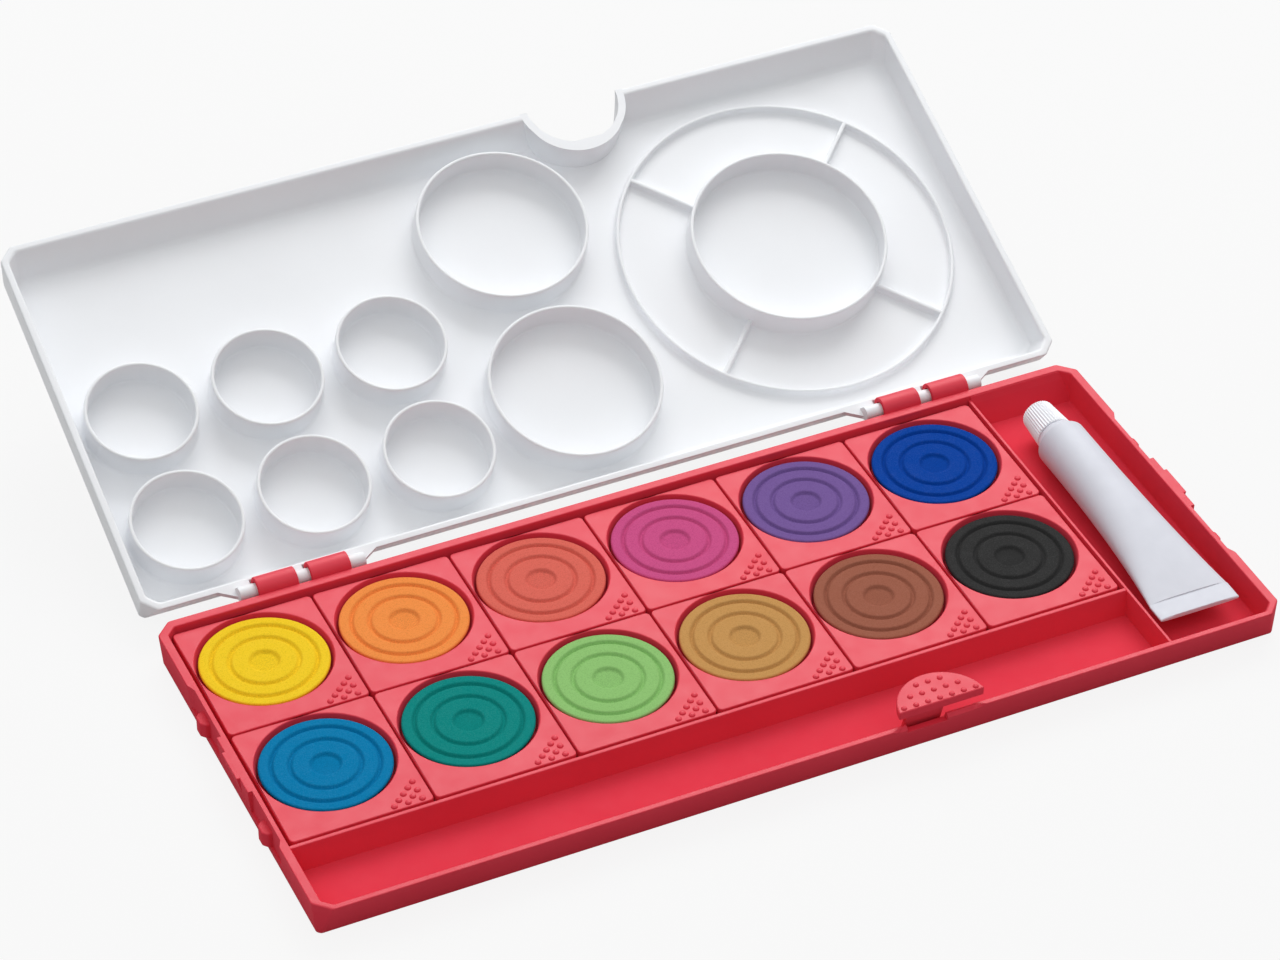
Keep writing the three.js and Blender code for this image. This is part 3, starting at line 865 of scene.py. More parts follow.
@dataclass
class Tray:
    """The red base with its pockets, hinge hooks and coupling features."""

    half_length: float = 118.6
    half_depth: float = 51.2
    height: float = 8.8
    floor: float = 1.1
    foot_inset: Flat = (0.75, 2.7)
    rim_cut: float = 3.7
    foot_cut: float = 0.8
    inner_cut: float = 2.2
    inner: Sides = (-116.4, 116.4, -49.7, 48.8)
    rim_round: float = 0.3
    floor_round: float = 0.5
    side_lean: float = 0.4
    front_lean: float = 2.6
    back_lean: float = 3.3
    pocket_lean: float = 0.35
    wall_top: float = 7.6
    wall_sink: float = 0.4
    wall_lean: float = 1.2
    divider: Span = (89.38, 90.38)
    divider_foot: float = 0.3
    divider_crest: float = 0.15
    channel_wall: Span = (-28.95, -27.95)
    wall_bed: float = 0.2
    wall_overlap: float = 0.3
    crest_bed: float = 0.4
    back_bed: float = 0.6
    wall_edge: float = 0.2
    shell_edge: float = 0.2
    shell_crease: float = 55.0
    hook_inner: float = 1.9
    hook_outer: float = 3.0
    hook_width: float = 9.8
    hook_spacing: float = 3.2
    hook_root: float = 1.7
    hook_tip: float = -25.0
    hook_heel: float = 222.0
    hook_neck: float = 1.1
    hook_edge: float = 0.25
    hook_steps: tuple[int, int, int] = (28, 24, 3)
    recess_depth: float = 1.1
    recess_foot: float = 2.6
    recess_span: Span = (9.7, 29.0)
    recess_round: float = 2.4
    lug_centre: float = 19.3
    lug_length: float = 4.8
    lug_heights: Span = (2.5, 6.5)
    lug_proud: float = 2.1
    lug_bed: float = 0.5
    lug_nose: float = 1.0
    lug_edge: float = 0.4
    block_half: float = 4.7
    block_proud: float = 0.7
    block_foot: float = 4.2
    block_bed: float = 0.8
    block_slope: float = 0.4
    block_drop: float = 0.02
    block_edge: float = 0.3
    scoop: Span = (19.1, 40.1)
    scoop_drop: float = 1.7
    scoop_depth: float = 0.9
    scoop_ease: float = 1.8
    scoop_bed: float = 0.3
    scoop_shares: Row = (0.02, 0.8)
    slot: Span = (21.8, 31.8)

    def make_shell(self) -> bpy.types.Object:
        """Makes the open tray with its rounded rim, and cuts what opens its walls."""
        soft, top, floor = self.rim_round, self.height, self.floor
        length, depth, (x, y) = self.half_length, self.half_depth, self.foot_inset
        outer = LeaningWall(
            (-length, length, -depth, depth), (x, x, y, y), (top, 0.0), (self.rim_cut, self.foot_cut)
        )
        leans = (self.side_lean, self.side_lean, self.front_lean, self.pocket_lean)
        inner = LeaningWall(self.inner, leans, (top, floor), (self.inner_cut, self.inner_cut))
        rings = [outer.ring(drop, more) for drop, more in reversed(rounding(soft))]
        rings += [outer.ring(top - drop, more) for drop, more in rounding(soft)]
        rings += [inner.ring(top - drop, -more) for drop, more in reversed(rounding(soft))]
        rings += [inner.ring(floor + drop, more) for drop, more in rounding(self.floor_round)]
        shell = lofted("tray_shell", rings)
        tools = [self.scoop_tool(), self.slot_tool()]
        tools += [self.recess_tool(end, half) for end in (-1, 1) for half in (-1, 1)]
        for tool in tools:
            combine(shell, tool, "DIFFERENCE")
        return shell

    def make_walls(self) -> list[bpy.types.Object]:
        """Makes the channel's back wall and the bay's side wall."""
        left, _, front, back = self.inner
        low = self.floor - self.wall_sink
        y0, y1 = self.channel_wall
        x0, x1 = self.divider
        lean, bed, more = self.wall_lean, self.wall_bed, self.divider_foot
        channel = beam("channel_wall", [
            (y0 - lean, low), (y1 + bed, low), (y1, self.wall_top), (y0, self.wall_top),
        ], left - self.wall_overlap, x0 + bed)
        ends = (front + self.front_lean - self.crest_bed, back - self.back_lean + self.back_bed)
        foot = (x0 - more, x1 + more, *ends)
        crest = (x0 + self.divider_crest, x1 - self.divider_crest, front - bed, back + bed)
        divider = lofted("bay_wall", [
            [(x, y, height) for x, y in cut_corners(sides, (0.0,) * 4)]
            for sides, height in ((foot, low), (crest, self.wall_top))
        ])
        slope = self.back_lean / (self.height - self.floor)
        crown = self.height - self.rim_round
        wedge = beam("bay_back", [
            (back - self.back_lean - slope * self.wall_sink, low), (back + bed, low), (back + bed, crown),
            (back - slope * self.rim_round, crown),
        ], x1 - self.wall_overlap, self.inner[1] + bed)
        for wall in (channel, divider):
            soften(wall, self.wall_edge)
        return [channel, divider, wedge]

    def scoop_tool(self) -> bpy.types.Object:
        """Makes the body that cuts the finger scoop, with eased ends, into the front rim."""
        low, high = self.scoop
        ease, (least, most) = self.scoop_ease, self.scoop_shares
        stations = (
            (low - ease, least), (low, most), (low + ease, 1.0), (high - ease, 1.0), (high, most),
            (high + ease, least),
        )
        wall, top = -self.half_depth, self.height
        rings = []
        for x, share in stations:
            foot = top - self.scoop_drop * share
            inner = wall + self.scoop_depth * share
            rings.append([
                (x, wall - OVERRUN, foot), (x, wall - self.scoop_bed, foot), (x, inner, top),
                (x, inner, top + OVERRUN), (x, wall - OVERRUN, top + OVERRUN),
            ])
        return lofted("scoop", rings)

    def slot_tool(self) -> bpy.types.Object:
        """Makes the body that opens the front rim under the catch."""
        foot = self.height - self.scoop_drop
        front = -self.half_depth - OVERRUN
        back = self.inner[2] + OVERRUN
        high = self.height + OVERRUN
        return beam("slot", [(front, foot), (back, foot), (back, high), (front, high)], *self.slot)

    def recess_tool(self, end: int, half: int) -> bpy.types.Object:
        """Makes the body that cuts one recess into an end wall.

        Args:
            end: -1 for the left end, 1 for the right end.
            half: -1 for the front half, 1 for the back half.

        Returns:
            The body.
        """
        outer = end * (self.half_length + OVERRUN)
        inner = end * (self.half_length - self.recess_depth)
        near, far = (half * value for value in self.recess_span)
        bend = half * (self.recess_span[1] - self.recess_round)
        outline = [(outer, near), (inner, near), (inner, bend), (end * self.half_length, far), (outer, far)]
        return prism("recess", outline, self.recess_foot, self.height + OVERRUN)

    def make_lug(self, end: int, half: int) -> bpy.types.Object:
        """Makes the rounded lug in one recess.

        Args:
            end: -1 for the left end, 1 for the right end.
            half: -1 for the front half, 1 for the back half.

        Returns:
            The lug.
        """
        root = self.half_length - self.recess_depth - self.lug_bed
        tip = self.half_length - self.recess_depth + self.lug_proud
        middle = half * self.lug_centre
        reach = self.lug_length / 2
        outline = [
            (end * root, middle - reach), (end * (tip - self.lug_nose), middle - reach),
            (end * tip, middle - reach / 2), (end * tip, middle + reach / 2),
            (end * (tip - self.lug_nose), middle + reach), (end * root, middle + reach),
        ]
        lug = prism("lug", outline, *self.lug_heights)
        soften(lug, self.lug_edge, 3)
        return lug

    def make_block(self, end: int) -> bpy.types.Object:
        """Makes the sloping block in the middle of an end wall.

        Args:
            end: -1 for the left end, 1 for the right end.

        Returns:
            The block.
        """
        wall = end * (self.half_length - self.block_bed)
        outer = end * (self.half_length + self.block_proud)
        foot = end * (self.half_length - self.block_slope)
        top = self.height - self.block_drop
        outline = [(wall, self.block_foot), (foot, self.block_foot), (outer, top), (wall, top)]
        half = self.block_half
        block = lofted("block", [[(x, y, z) for x, z in outline] for y in (-half, half)])
        soften(block, self.block_edge, 3)
        return block

    def hook_spans(self) -> list[Span]:
        """Gives the left and right end of each hinge hook."""
        spans = []
        for centre in HINGE_CENTRES:
            for side in (-1, 1):
                middle = centre + side * (self.hook_width + self.hook_spacing) / 2
                spans.append((middle - self.hook_width / 2, middle + self.hook_width / 2))
        return spans

    def make_hook(self, low: float, high: float) -> bpy.types.Object:
        """Makes one hinge hook.

        Args:
            low: X of its left end.
            high: X of its right end.

        Returns:
            The hook.
        """
        z = HINGE[1]
        root = self.half_depth - self.hook_root
        tip, heel = math.radians(self.hook_tip), math.radians(self.hook_heel)
        outer_steps, inner_steps, edge_steps = self.hook_steps
        outline = [
            *arc(HINGE, self.hook_outer, tip, math.pi, outer_steps),
            (root, z), (root, z - self.hook_outer), (self.half_depth, z - self.hook_outer + self.hook_neck),
            *arc(HINGE, self.hook_inner, heel, tip, inner_steps),
        ]
        hook = beam("hook", outline, low, high)
        soften(hook, self.hook_edge, edge_steps)
        return hook

    def build(self, red: bpy.types.Material) -> None:
        """Makes the tray.

        Args:
            red: Its material.
        """
        shell = self.make_shell()
        soften(shell, self.shell_edge, 2, self.shell_crease)
        parts = [shell, *self.make_walls(), *[self.make_hook(*span) for span in self.hook_spans()]]
        for end in (-1, 1):
            parts += [self.make_lug(end, half) for half in (-1, 1)] + [self.make_block(end)]
        dress(joined("tray_moulding", parts), red, "red_plastic", "tray", "tray")


# The lid


@dataclass
class PaletteLid:
    """The white lid with mixing wells; it is modelled shut and then turned open."""

    half_length: float = 118.6
    front: float = -52.6
    back: float = 51.7
    rim: float = 9.1
    top: float = 17.8
    skin: float = 1.2
    wall: float = 1.85
    lean: Sides = (0.6, 0.6, 4.3, 3.4)
    rim_cut: float = 3.4
    skin_cut: float = 0.8
    inner_cut: float = 2.5
    inner_ease: float = 0.8
    rim_round: float = 0.45
    crown_round: float = 0.9
    floor_round: float = 1.1
    row_edge: float = 51.2
    ring_wall: float = 0.9
    ring_height: float = 6.8
    ring_foot: float = 0.4
    fillet: float = 0.7
    fillet_steps: int = 5
    lip_round: float = 0.4
    lip_steps: int = 4
    small_radius: float = 13.55
    small_columns: Row = (-100.6, -68.95, -37.3)
    small_rows: Row = (20.5, 51.5)
    medium_radius: float = 21.35
    medium_x: float = 1.2
    medium_rows: Row = (28.4, 75.4)
    wheel: Flat = (68.35, 51.3)
    hub_radius: float = 24.75
    wheel_radius: float = 42.5
    wheel_height: float = 2.0
    ring_sides: tuple[int, ...] = (96, 128, 192, 144)
    hub_bed: float = 0.04
    spoke_width: float = 1.1
    spoke_fillet: float = 0.4
    spoke_lip: float = 0.35
    spoke_bed: float = 0.5
    spoke_turns: Row = (45.0, 135.0, 225.0, 315.0)
    notch_x: float = 31.1
    notch_radius: float = 12.0
    notch_sides: int = 96
    notch_bed: float = 0.4
    lip_reach: float = 11.4
    lip_thickness: float = 1.0
    lip_gap: float = 0.35
    lip_lap: float = 0.01
    pin_radius: float = 1.6
    pin_sides: int = 32
    pin_inset: float = 1.0
    arm_width: float = 31.0
    arm_flare: float = 5.2
    arm_thickness: float = 1.3
    arm_bed: float = 0.9
    arm_drop: float = 0.02
    arm_edge: float = 0.15
    knuckle_wall: float = 0.1
    knuckle_bed: float = 0.6
    knuckle_span: Span = (190.0, 400.0)
    knuckle_steps: int = 14
    hook_room: float = 3.65
    room_sides: int = 64
    room_ends: float = 0.3
    open_degrees: float = 158.3

    @property
    def ceiling(self) -> float:
        """Height of the inner face when the lid is shut."""
        return self.top - self.skin

    @property
    def sides(self) -> Sides:
        """The outer wall's left, right, front and back at the rim."""
        return (-self.half_length, self.half_length, self.front, self.back)

    def outer_block(self) -> bpy.types.Object:
        """Makes the lid's outer form as a solid block, which trims the notch's wall."""
        low = cut_corners(self.sides, (self.rim_cut,) * 4)
        high = cut_corners(drawn_in(self.sides, self.lean), (self.skin_cut,) * 4)
        return lofted("lid_block", [[(x, y, self.rim) for x, y in low], [(x, y, self.top) for x, y in high]])

    def make_shell(self, catch: "Catch") -> bpy.types.Object:
        """Makes the hollow shell with its thumb notch and its room for the hinge hooks.

        Args:
            catch: The catch that hooks over the notch's lip.

        Returns:
            The shell.
        """
        soft, rim, wall, ceiling = self.rim_round, self.rim, self.wall, self.ceiling
        outer = LeaningWall(self.sides, self.lean, (rim, self.top), (self.rim_cut, self.skin_cut))
        cuts = (self.inner_cut, self.inner_cut)
        inner = LeaningWall(self.sides, self.lean, (rim, ceiling), cuts, self.inner_ease)
        crown = reversed(rounding(self.crown_round))
        rings = [outer.ring(self.top - drop, more) for drop, more in crown]
        rings += [outer.ring(rim + drop, more) for drop, more in rounding(soft)]
        rings += [inner.ring(rim + drop, wall - more) for drop, more in reversed(rounding(soft))]
        rings += [inner.ring(ceiling - drop, wall + more) for drop, more in rounding(self.floor_round)]
        shell = lofted("lid_shell", rings)
        self.cut_notch(shell, self.outer_block(), catch)
        for low, high in Tray().hook_spans():
            combine(shell, self.room(low, high), "DIFFERENCE")
        return shell

    def cut_notch(self, shell: bpy.types.Object, outer: bpy.types.Object, catch: "Catch") -> None:
        """Cuts the thumb notch and leaves a wall and a lip round it.

        Args:
            shell: The hollow shell.
            outer: The lid's outer form, which is used up.
            catch: The catch that hooks over the lip.
        """
        centre = (self.notch_x, self.front)
        step = self.rim + self.lip_thickness
        wide = self.notch_radius + self.wall
        sink = self.ceiling + self.notch_bed
        wall = turned("notch_wall", [(wide, self.rim), (wide, sink)], self.notch_sides, centre)
        combine(wall, prism("relief_wall", catch.relief(self.lip_gap + self.wall), self.rim, sink), "UNION")
        combine(wall, outer, "INTERSECT")
        combine(shell, wall, "UNION")
        radius, low, high = self.notch_radius, self.rim - OVERRUN, self.top + OVERRUN
        below = turned("notch_low", [(radius, low), (radius, step)], self.notch_sides, centre)
        edge = self.front + self.lip_reach
        mouth = cut_corners((self.notch_x - wide, self.notch_x + wide, self.front - wide, edge), (0.0,) * 4)
        combine(below, prism("mouth", mouth, low - OVERRUN, step + OVERRUN), "INTERSECT")
        foot = step - self.lip_lap
        above = turned("notch_high", [(radius, foot), (radius, high)], self.notch_sides, centre)
        combine(above, prism("relief", catch.relief(self.lip_gap), foot, high), "UNION")
        combine(shell, below, "DIFFERENCE")
        combine(shell, above, "DIFFERENCE")

    def ring(
        self, name: str, centre: Flat, radius: float, height: float, sides: int, bed: float = 0.015
    ) -> bpy.types.Object:
        """Makes one round well wall with a rounded rim and a fillet at its foot.

        Args:
            name: Name of the ring.
            centre: X, and the distance from the tray's back edge.
            radius: Outer radius.
            height: Height above the lid's floor.
            sides: How many sides stand for the circle.
            bed: How far the skin inside it stands above the lid's floor.

        Returns:
            The ring.
        """
        fillet, lip = self.fillet, self.lip_round
        turns, steps = self.fillet_steps, self.lip_steps
        inner = radius - self.ring_wall
        profile = [(radius + fillet, -self.ring_foot)]
        profile += arc((radius + fillet, fillet), fillet, 3 * QUARTER, 2 * QUARTER, turns)
        profile += arc((radius - lip, height - lip), lip, 0.0, QUARTER, steps)
        profile += arc((inner + lip, height - lip), lip, QUARTER, 2 * QUARTER, steps)
        profile += arc((inner - fillet, fillet + bed), fillet, 0.0, -QUARTER, turns)
        heights = [(r, self.ceiling - depth) for r, depth in profile]
        piece = turned(name, heights, sides, (centre[0], self.row_edge - centre[1]))
        smooth(piece, LATHE_CREASE)
        return piece

    def spoke(self, turn: float) -> bpy.types.Object:
        """Makes one spoke of the wheel-shaped well.

        Args:
            turn: Direction of the spoke, in degrees.

        Returns:
            The spoke.
        """
        half, high = self.spoke_width / 2, self.wheel_height
        fillet, lip, steps = self.spoke_fillet, self.spoke_lip, self.lip_steps
        right = [(half + fillet, -self.ring_foot)]
        right += arc((half + fillet, fillet), fillet, 3 * QUARTER, 2 * QUARTER, steps)
        right += arc((half - lip, high - lip), lip, 0.0, QUARTER, steps - 1)
        outline = right + [(-v, d) for v, d in reversed(right)]
        x, y = self.wheel[0], self.row_edge - self.wheel[1]
        cos, sin = math.cos(math.radians(turn)), math.sin(math.radians(turn))
        rings = [
            [(x + r * cos - v * sin, y + r * sin + v * cos, self.ceiling - d) for v, d in outline]
            for r in (self.hub_radius - self.spoke_bed, self.wheel_radius - self.spoke_bed)
        ]
        piece = lofted("spoke", rings)
        smooth(piece, LATHE_CREASE)
        return piece

    def make_wells(self) -> list[bpy.types.Object]:
        """Makes all well walls and spokes."""
        high = self.ring_height
        small, medium, wheel, hub = self.ring_sides
        places = [(x, row) for x in self.small_columns for row in self.small_rows]
        wells = [self.ring("well", place, self.small_radius, high, small) for place in places]
        for row in self.medium_rows:
            wells.append(self.ring("well", (self.medium_x, row), self.medium_radius, high, medium))
        wells.append(self.ring("wheel", self.wheel, self.wheel_radius, self.wheel_height, wheel))
        wells.append(self.ring("hub", self.wheel, self.hub_radius, high, hub, self.hub_bed))
        return wells + [self.spoke(turn) for turn in self.spoke_turns]

    def room(self, low: float, high: float) -> bpy.types.Object:
        """Makes the body that keeps room for one hook.

        Args:
            low: X of the hook's left end.
            high: X of the hook's right end.

        Returns:
            The body.
        """
        outline = circle(HINGE, self.hook_room, self.room_sides)
        return beam("room", outline, low - self.room_ends, high + self.room_ends)

    def make_hinge(self, centre: float) -> bpy.types.Object:
        """Makes the arm and the pin of one hinge.

        Args:
            centre: X of the hinge's middle.

        Returns:
            The hinge half.
        """
        half = self.arm_width / 2
        y = HINGE[0]
        root, low, high = self.back - self.arm_bed, self.rim - self.arm_drop, self.rim + self.arm_thickness
        outline = [
            (centre - half - self.arm_flare, root), (centre + half + self.arm_flare, root),
            (centre + half, y), (centre - half, y),
        ]
        arm = prism("arm", outline, low, high)
        reach = self.pin_radius + self.knuckle_wall
        start, end = (math.radians(angle) for angle in self.knuckle_span)
        knuckle = beam("knuckle", [
            *arc(HINGE, reach, start, end, self.knuckle_steps), (y, high),
            (y - reach - self.knuckle_bed, high), (y - reach - self.knuckle_bed, low),
        ], centre - half, centre + half)
        combine(arm, knuckle, "UNION")
        for left, right in Tray().hook_spans():
            if abs((left + right) / 2 - centre) < half:
                combine(arm, self.room(left, right), "DIFFERENCE")
        soften(arm, self.arm_edge)
        ends = (centre - half + self.pin_inset, centre + half - self.pin_inset)
        pin = beam("pin", circle(HINGE, self.pin_radius, self.pin_sides), *ends)
        smooth(pin)
        return joined("hinge", [arm, pin])

    def build(self, white: bpy.types.Material, catch: "Catch") -> None:
        """Makes the lid and turns it open.

        Args:
            white: Its material.
            catch: The catch that hooks over the notch's lip.
        """
        shell = self.make_shell(catch)
        smooth(shell)
        parts = [shell, *self.make_wells(), *[self.make_hinge(centre) for centre in HINGE_CENTRES]]
        lid = joined("palette_lid", parts)
        axis = Vector((0.0, *HINGE)) * MM
        turn = Matrix.Rotation(-math.radians(self.open_degrees), 4, "X")
        lid.data.transform(Matrix.Translation(axis) @ turn @ Matrix.Translation(-axis))
        dress(lid, white, "white_plastic", "lid", "lid")


# The catch


@dataclass
class Catch:
    """The half-moon catch with a studded top, on its springy stem."""

    x: float = 30.75
    front: float = -49.75
    half_width: float = 10.6
    depth: float = 9.6
    heights: Span = (10.4, 12.6)
    plate_edge: float = 0.35
    arc_steps: int = 60
    relief_steps: int = 48
    stem_edge: float = 0.15
    stud_rows: tuple[int, ...] = (7, 5, 3)
    stud_pitch: Flat = (2.98, 2.95)
    stud_margin: float = 1.1
    stud_radius: float = 0.7
    stud_height: float = 0.45
    stem_span: Span = (22.1, 31.5)
    stem: tuple[Flat, ...] = ((-46.6, 1.4), (-45.6, 1.4), (-48.64, 11.5), (-49.64, 11.5))

    @property
    def radius(self) -> float:
        """Radius of the half-moon's arc."""
        return (self.half_width**2 + self.depth**2) / (2 * self.depth)

    def relief(self, margin: float) -> list[Flat]:
        """Draws the catch's outline grown by a margin and drawn out to the front.

        Args:
            margin: How far the outline is grown.

        Returns:
            The outline.
        """
        radius = self.radius + margin
        middle = self.front + self.depth - self.radius
        front = PaletteLid.front - OVERRUN
        crest = arc((self.x, middle), radius, 0.0, math.pi, self.relief_steps)
        return [(self.x + radius, front), *crest, (self.x - radius, front)]

    def make_plate(self) -> bpy.types.Object:
        """Makes the half-moon plate."""
        middle = self.front + self.depth - self.radius
        start = math.asin((self.front - middle) / self.radius)
        outline = arc((self.x, middle), self.radius, start, math.pi - start, self.arc_steps)
        plate = prism("plate", outline, *self.heights)
        soften(plate, self.plate_edge, 3)
        return plate

    def make_studs(self) -> list[bpy.types.Object]:
        """Makes the studs on the plate."""
        first = low_stud(self.stud_radius, self.stud_height)
        smooth(first)
        studs = []
        for row, count in enumerate(self.stud_rows):
            for i in range(count):
                x = self.x + (i - (count - 1) / 2) * self.stud_pitch[0]
                y = self.front + self.stud_margin + row * self.stud_pitch[1]
                studs.append(copied(first, "stud", (x, y, self.heights[1])))
        bpy.data.objects.remove(first, do_unlink=True)
        return studs

    def build(self, red: bpy.types.Material) -> None:
        """Makes the catch.

        Args:
            red: Its material.
        """
        stem = beam("stem", list(self.stem), *self.stem_span)
        soften(stem, self.stem_edge)
        catch = joined("snap_catch", [self.make_plate(), stem, *self.make_studs()])
        dress(catch, red, "red_plastic", "catch", "catch")


# The tube of white


@dataclass
class WhiteTube:
    """The tube with its folded crimp, and its ribbed screw cap.

    Each level of the crimp has its place along it, what it adds to half the width and half the thickness,
    and its squareness. Each level of the cap has its place along it, how far it is drawn in, and the share
    of the ribs' full depth.
    """

    x: float = 102.1
    z: float = 7.7
    radius: float = 6.3
    crimp_y: float = -41.0
    crimp_length: float = 5.6
    crimp_half: float = 10.3
    crimp_thick: float = 0.6
    crimp_drop: float = 0.9
    crimp_levels: tuple[Row, ...] = (
        (0.0, -0.15, -0.25, 2.0), (0.2, 0.0, 0.0, 2.0), (5.25, 0.0, 0.0, 2.0), (5.5, -0.1, 0.02, 1.6),
    )
    body_length: float = 60.2
    body_bend: float = 2.1
    body_inset: float = 0.1
    body_swell: float = 0.3
    body_square: float = 0.6
    stations: int = 26
    sides: int = 72
    shoulder: tuple[Flat, ...] = (
        (0.12, 6.27), (0.35, 6.12), (0.7, 5.85), (1.6, 5.4), (2.5, 4.95), (2.75, 4.7), (2.85, 2.8),
        (9.4, 2.8),
    )
    cap_gap: float = 3.3
    cap_length: float = 9.2
    cap_base: float = 4.75
    cap_end: float = 4.0
    cap_levels: tuple[Row, ...] = (
        (0.0, 0.25, 0.4), (0.25, 0.0, 1.0), (8.5, 0.0, 1.0), (8.9, 0.1, 0.8), (9.1, 0.3, 0.4),
        (9.2, 0.6, 0.0),
    )
    cap_crease: float = 25.0
    ribs: int = 40
    rib_steps: int = 4
    rib_depth: float = 0.24
    bore: float = 3.1
    bore_length: float = 7.6
    bore_sides: int = 48

    def section(
        self, y: float, half_x: float, half_z: float, drop: float = 0.0, square: float = 0.0
    ) -> list[Point]:
        """Draws the tube's outline at one place.

        Args:
            y: Place along the tube.
            half_x: Half its width.
            half_z: Half its height.
            drop: How far its middle lies below the round part's.
            square: 0 is an ellipse, more is squarer.

        Returns:
            The outline.
        """
        power = 2 / (2 + square)
        points = []
        for cos, sin in circle((0.0, 0.0), 1.0, self.sides):
            across, up = math.copysign(abs(cos) ** power, cos), math.copysign(abs(sin) ** power, sin)
            points.append((self.x + half_x * across, y, self.z - drop + half_z * up))
        return points

    def make_tube(self) -> bpy.types.Object:
        """Makes the tube from its crimp to its neck."""
        half, thick, drop = self.crimp_half, self.crimp_thick, self.crimp_drop
        rings = [
            self.section(self.crimp_y + y, half + wider, thick + thicker, drop, square)
            for y, wider, thicker, square in self.crimp_levels
        ]
        fold = self.crimp_y + self.crimp_length
        for i in range(self.stations + 1):
            share = i / self.stations
            flat = (1.0 - share) ** self.body_bend
            half_x = self.radius + (half - self.body_inset - self.radius) * flat
            half_z = self.radius + (thick + self.body_swell - self.radius) * flat
            y = fold + share * self.body_length
            rings.append(self.section(y, half_x, half_z, drop * flat, self.body_square * flat))
        end = fold + self.body_length
        rings += [self.section(end + y, radius, radius) for y, radius in self.shoulder]
        tube = lofted("tube_body", rings)
        smooth(tube)
        return tube

    def make_cap(self) -> bpy.types.Object:
        """Makes the ribbed cap with its bore."""
        start = self.crimp_y + self.crimp_length + self.body_length + self.cap_gap
        count = self.ribs * self.rib_steps
        rings = []
        for y, less, ribbed in self.cap_levels:
            radius = self.cap_base + (self.cap_end - self.cap_base) * y / self.cap_length - less
            ring = []
            for i in range(count):
                angle = FULL * i / count
                reach = radius - self.rib_depth * ribbed * (0.5 - 0.5 * math.cos(angle * self.ribs))
                ring.append((self.x + reach * math.cos(angle), start + y, self.z + reach * math.sin(angle)))
            rings.append(ring)
        cap = lofted("cap_body", rings)
        outline = circle((self.x, self.z), self.bore, self.bore_sides)
        ends = (start - OVERRUN, start + self.bore_length)
        combine(cap, lofted("bore", [[(x, y, z) for x, z in outline] for y in ends]), "DIFFERENCE")
        smooth(cap, self.cap_crease)
        return cap

    def build(self, lacquer: bpy.types.Material, cap_finish: bpy.types.Material) -> None:
        """Makes the tube and its cap.

        Args:
            lacquer: The tube's material.
            cap_finish: The cap's material.
        """
        dress(self.make_tube(), lacquer, "tube_metal", "tube", "tube")
        dress(self.make_cap(), cap_finish, "white_plastic", "tube_cap", "tube_cap")


# The studio


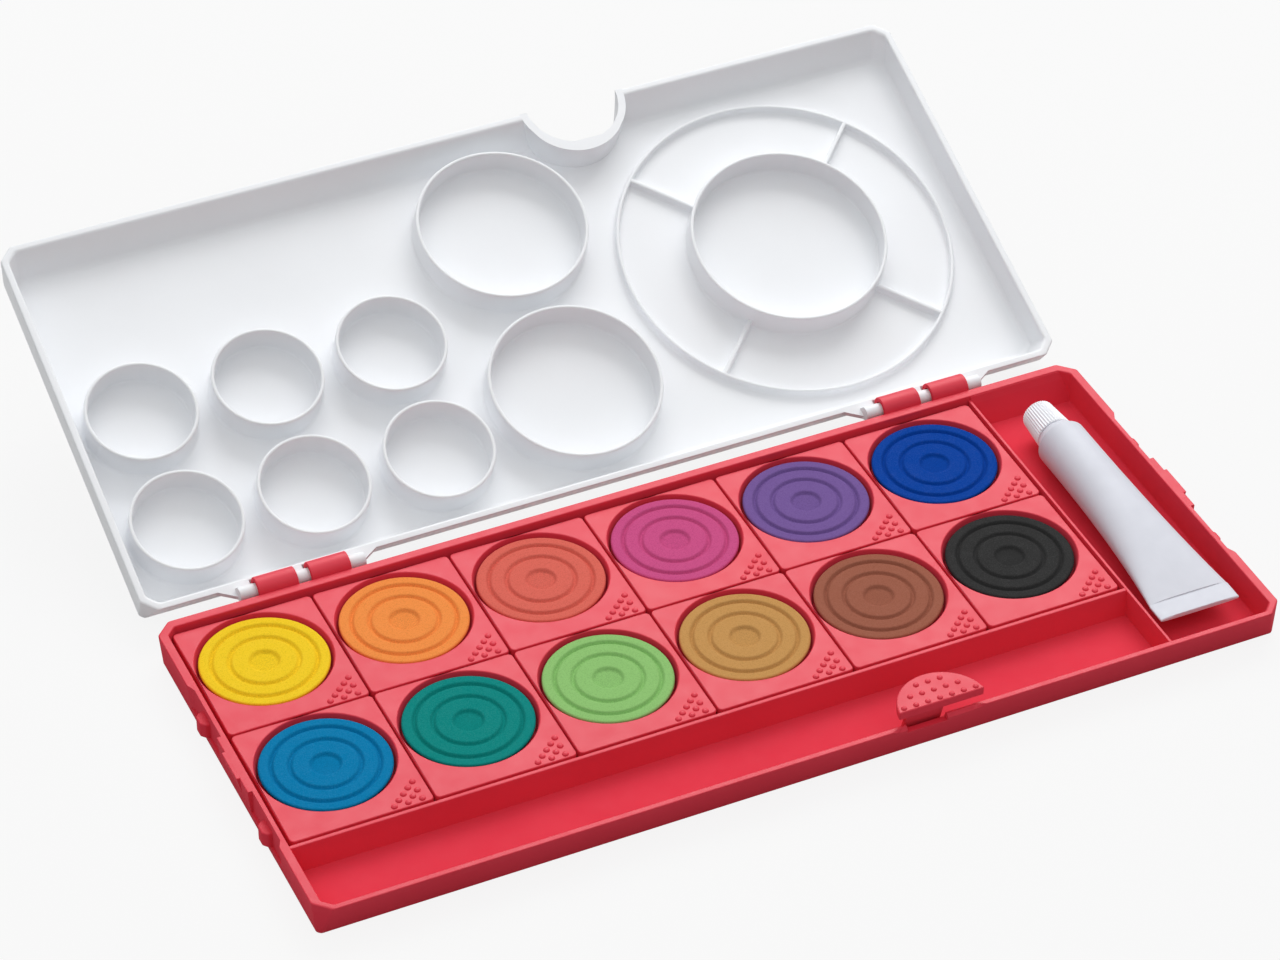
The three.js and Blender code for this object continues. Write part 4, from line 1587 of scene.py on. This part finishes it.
@dataclass
class Studio:
    """Camera, lights and floor."""

    camera_place: Point = (-340.5, -699.6, 681.7)
    camera_look: Point = (0.3230, 0.7054, -0.6309)
    lens: float = 126.98
    sensor: float = 36.0
    clip: Span = (0.05, 20.0)
    lamps: tuple[tuple[str, Point, Flat, float], ...] = (
        ("key", (480.0, 720.0, 900.0), (1000.0, 740.0), 8.3),
        ("fill", (-500.0, -650.0, 1300.0), (1200.0, 1200.0), 0.6),
    )
    sky_levels: Span = (0.03, 0.92)
    floor_span: float = 8000.0
    floor_tone: Colour = (0.55, 0.55, 0.55)
    floor_roughness: float = 0.9
    floor_gloss: float = 0.1
    floor_glow: float = 0.88

    def build(self) -> None:
        """Sets up the camera, the lamps, the world and the floor."""
        scene = bpy.context.scene
        lens = bpy.data.cameras.new("camera")
        lens.lens = self.lens
        lens.sensor_width = self.sensor
        camera = bpy.data.objects.new("camera", lens)
        camera.location = Vector(self.camera_place) * MM
        camera.rotation_euler = Vector(self.camera_look).to_track_quat("-Z", "Y").to_euler()
        lens.clip_start, lens.clip_end = self.clip
        scene.collection.objects.link(camera)
        scene.camera = camera

        for name, place, size, watts in self.lamps:
            light = bpy.data.lights.new(name, "AREA")
            light.shape = "RECTANGLE"
            light.size, light.size_y = (value * MM for value in size)
            light.energy = watts
            lamp = bpy.data.objects.new(name, light)
            lamp.location = Vector(place) * MM
            lamp.rotation_euler = (-lamp.location).to_track_quat("-Z", "Y").to_euler()
            scene.collection.objects.link(lamp)

        self.make_world()
        self.make_floor()
        scene.view_settings.view_transform = "Standard"

    def background_share(self, tree: bpy.types.NodeTree) -> bpy.types.NodeSocket:
        """Tells whether a ray shows the background: straight to the camera, in gloss or through glass.

        Args:
            tree: The nodes that it is added to.

        Returns:
            One for such a ray, otherwise zero.
        """
        path = tree.nodes.new("ShaderNodeLightPath")
        share = path.outputs["Is Camera Ray"]
        for name in ("Is Glossy Ray", "Is Transmission Ray"):
            node = tree.nodes.new("ShaderNodeMath")
            node.operation = "MAXIMUM"
            tree.links.new(share, node.inputs[0])
            tree.links.new(path.outputs[name], node.inputs[1])
            share = node.outputs["Value"]
        return share

    def make_world(self) -> None:
        """Makes a sky that is brighter overhead, and that the camera sees as white."""
        world = bpy.data.worlds.new("studio")
        world.use_nodes = True
        bpy.context.scene.world = world
        tree = world.node_tree
        background = tree.nodes["Background"]
        background.inputs["Color"].default_value = (1.0, 1.0, 1.0, 1.0)
        place = tree.nodes.new("ShaderNodeTexCoord")
        height = tree.nodes.new("ShaderNodeSeparateXYZ")
        tree.links.new(place.outputs["Generated"], height.inputs["Vector"])
        sky = tree.nodes.new("ShaderNodeMapRange")
        sky.inputs["To Min"].default_value, sky.inputs["To Max"].default_value = self.sky_levels
        tree.links.new(height.outputs["Z"], sky.inputs["Value"])
        level = tree.nodes.new("ShaderNodeMapRange")
        level.inputs["To Max"].default_value = 1.0
        tree.links.new(self.background_share(tree), level.inputs["Value"])
        tree.links.new(sky.outputs["Result"], level.inputs["To Min"])
        tree.links.new(level.outputs["Result"], background.inputs["Strength"])

    def make_floor(self) -> None:
        """Makes a pale floor that is nearly white to the camera but keeps the shadow."""
        bpy.ops.object.select_all(action="DESELECT")
        bpy.ops.mesh.primitive_plane_add(size=self.floor_span * MM, location=(0.0, 0.0, 0.0))
        floor = bpy.context.active_object
        floor.name = "studio_floor"
        recipe = Recipe("studio_floor")
        recipe.shader.inputs["Base Color"].default_value = (*self.floor_tone, 1.0)
        recipe.set(Roughness=self.floor_roughness, Specular_IOR_Level=self.floor_gloss)
        glow = recipe.nodes.new("ShaderNodeEmission")
        seen = self.background_share(recipe.material.node_tree)
        share = recipe.span(seen, (0.0, 1.0), (0.0, self.floor_glow))
        mix = recipe.nodes.new("ShaderNodeMixShader")
        recipe.links.new(share, mix.inputs["Fac"])
        recipe.links.new(recipe.shader.outputs["BSDF"], mix.inputs[1])
        recipe.links.new(glow.outputs["Emission"], mix.inputs[2])
        recipe.links.new(mix.outputs["Shader"], recipe.nodes["Material Output"].inputs["Surface"])
        floor.data.materials.append(recipe.material)


def main() -> None:
    """Builds every piece of the paint box and the studio round it."""
    logging.basicConfig(level=logging.INFO, format="%(name)s: %(message)s")
    Studio().build()
    red = RED.make()
    ColourPans().build(red)
    Tray().build(red)
    catch = Catch()
    catch.build(red)
    PaletteLid().build(WHITE.make(), catch)
    WhiteTube().build(LACQUER.make(), CAP_WHITE.make())


if __name__ == "__main__":
    main()
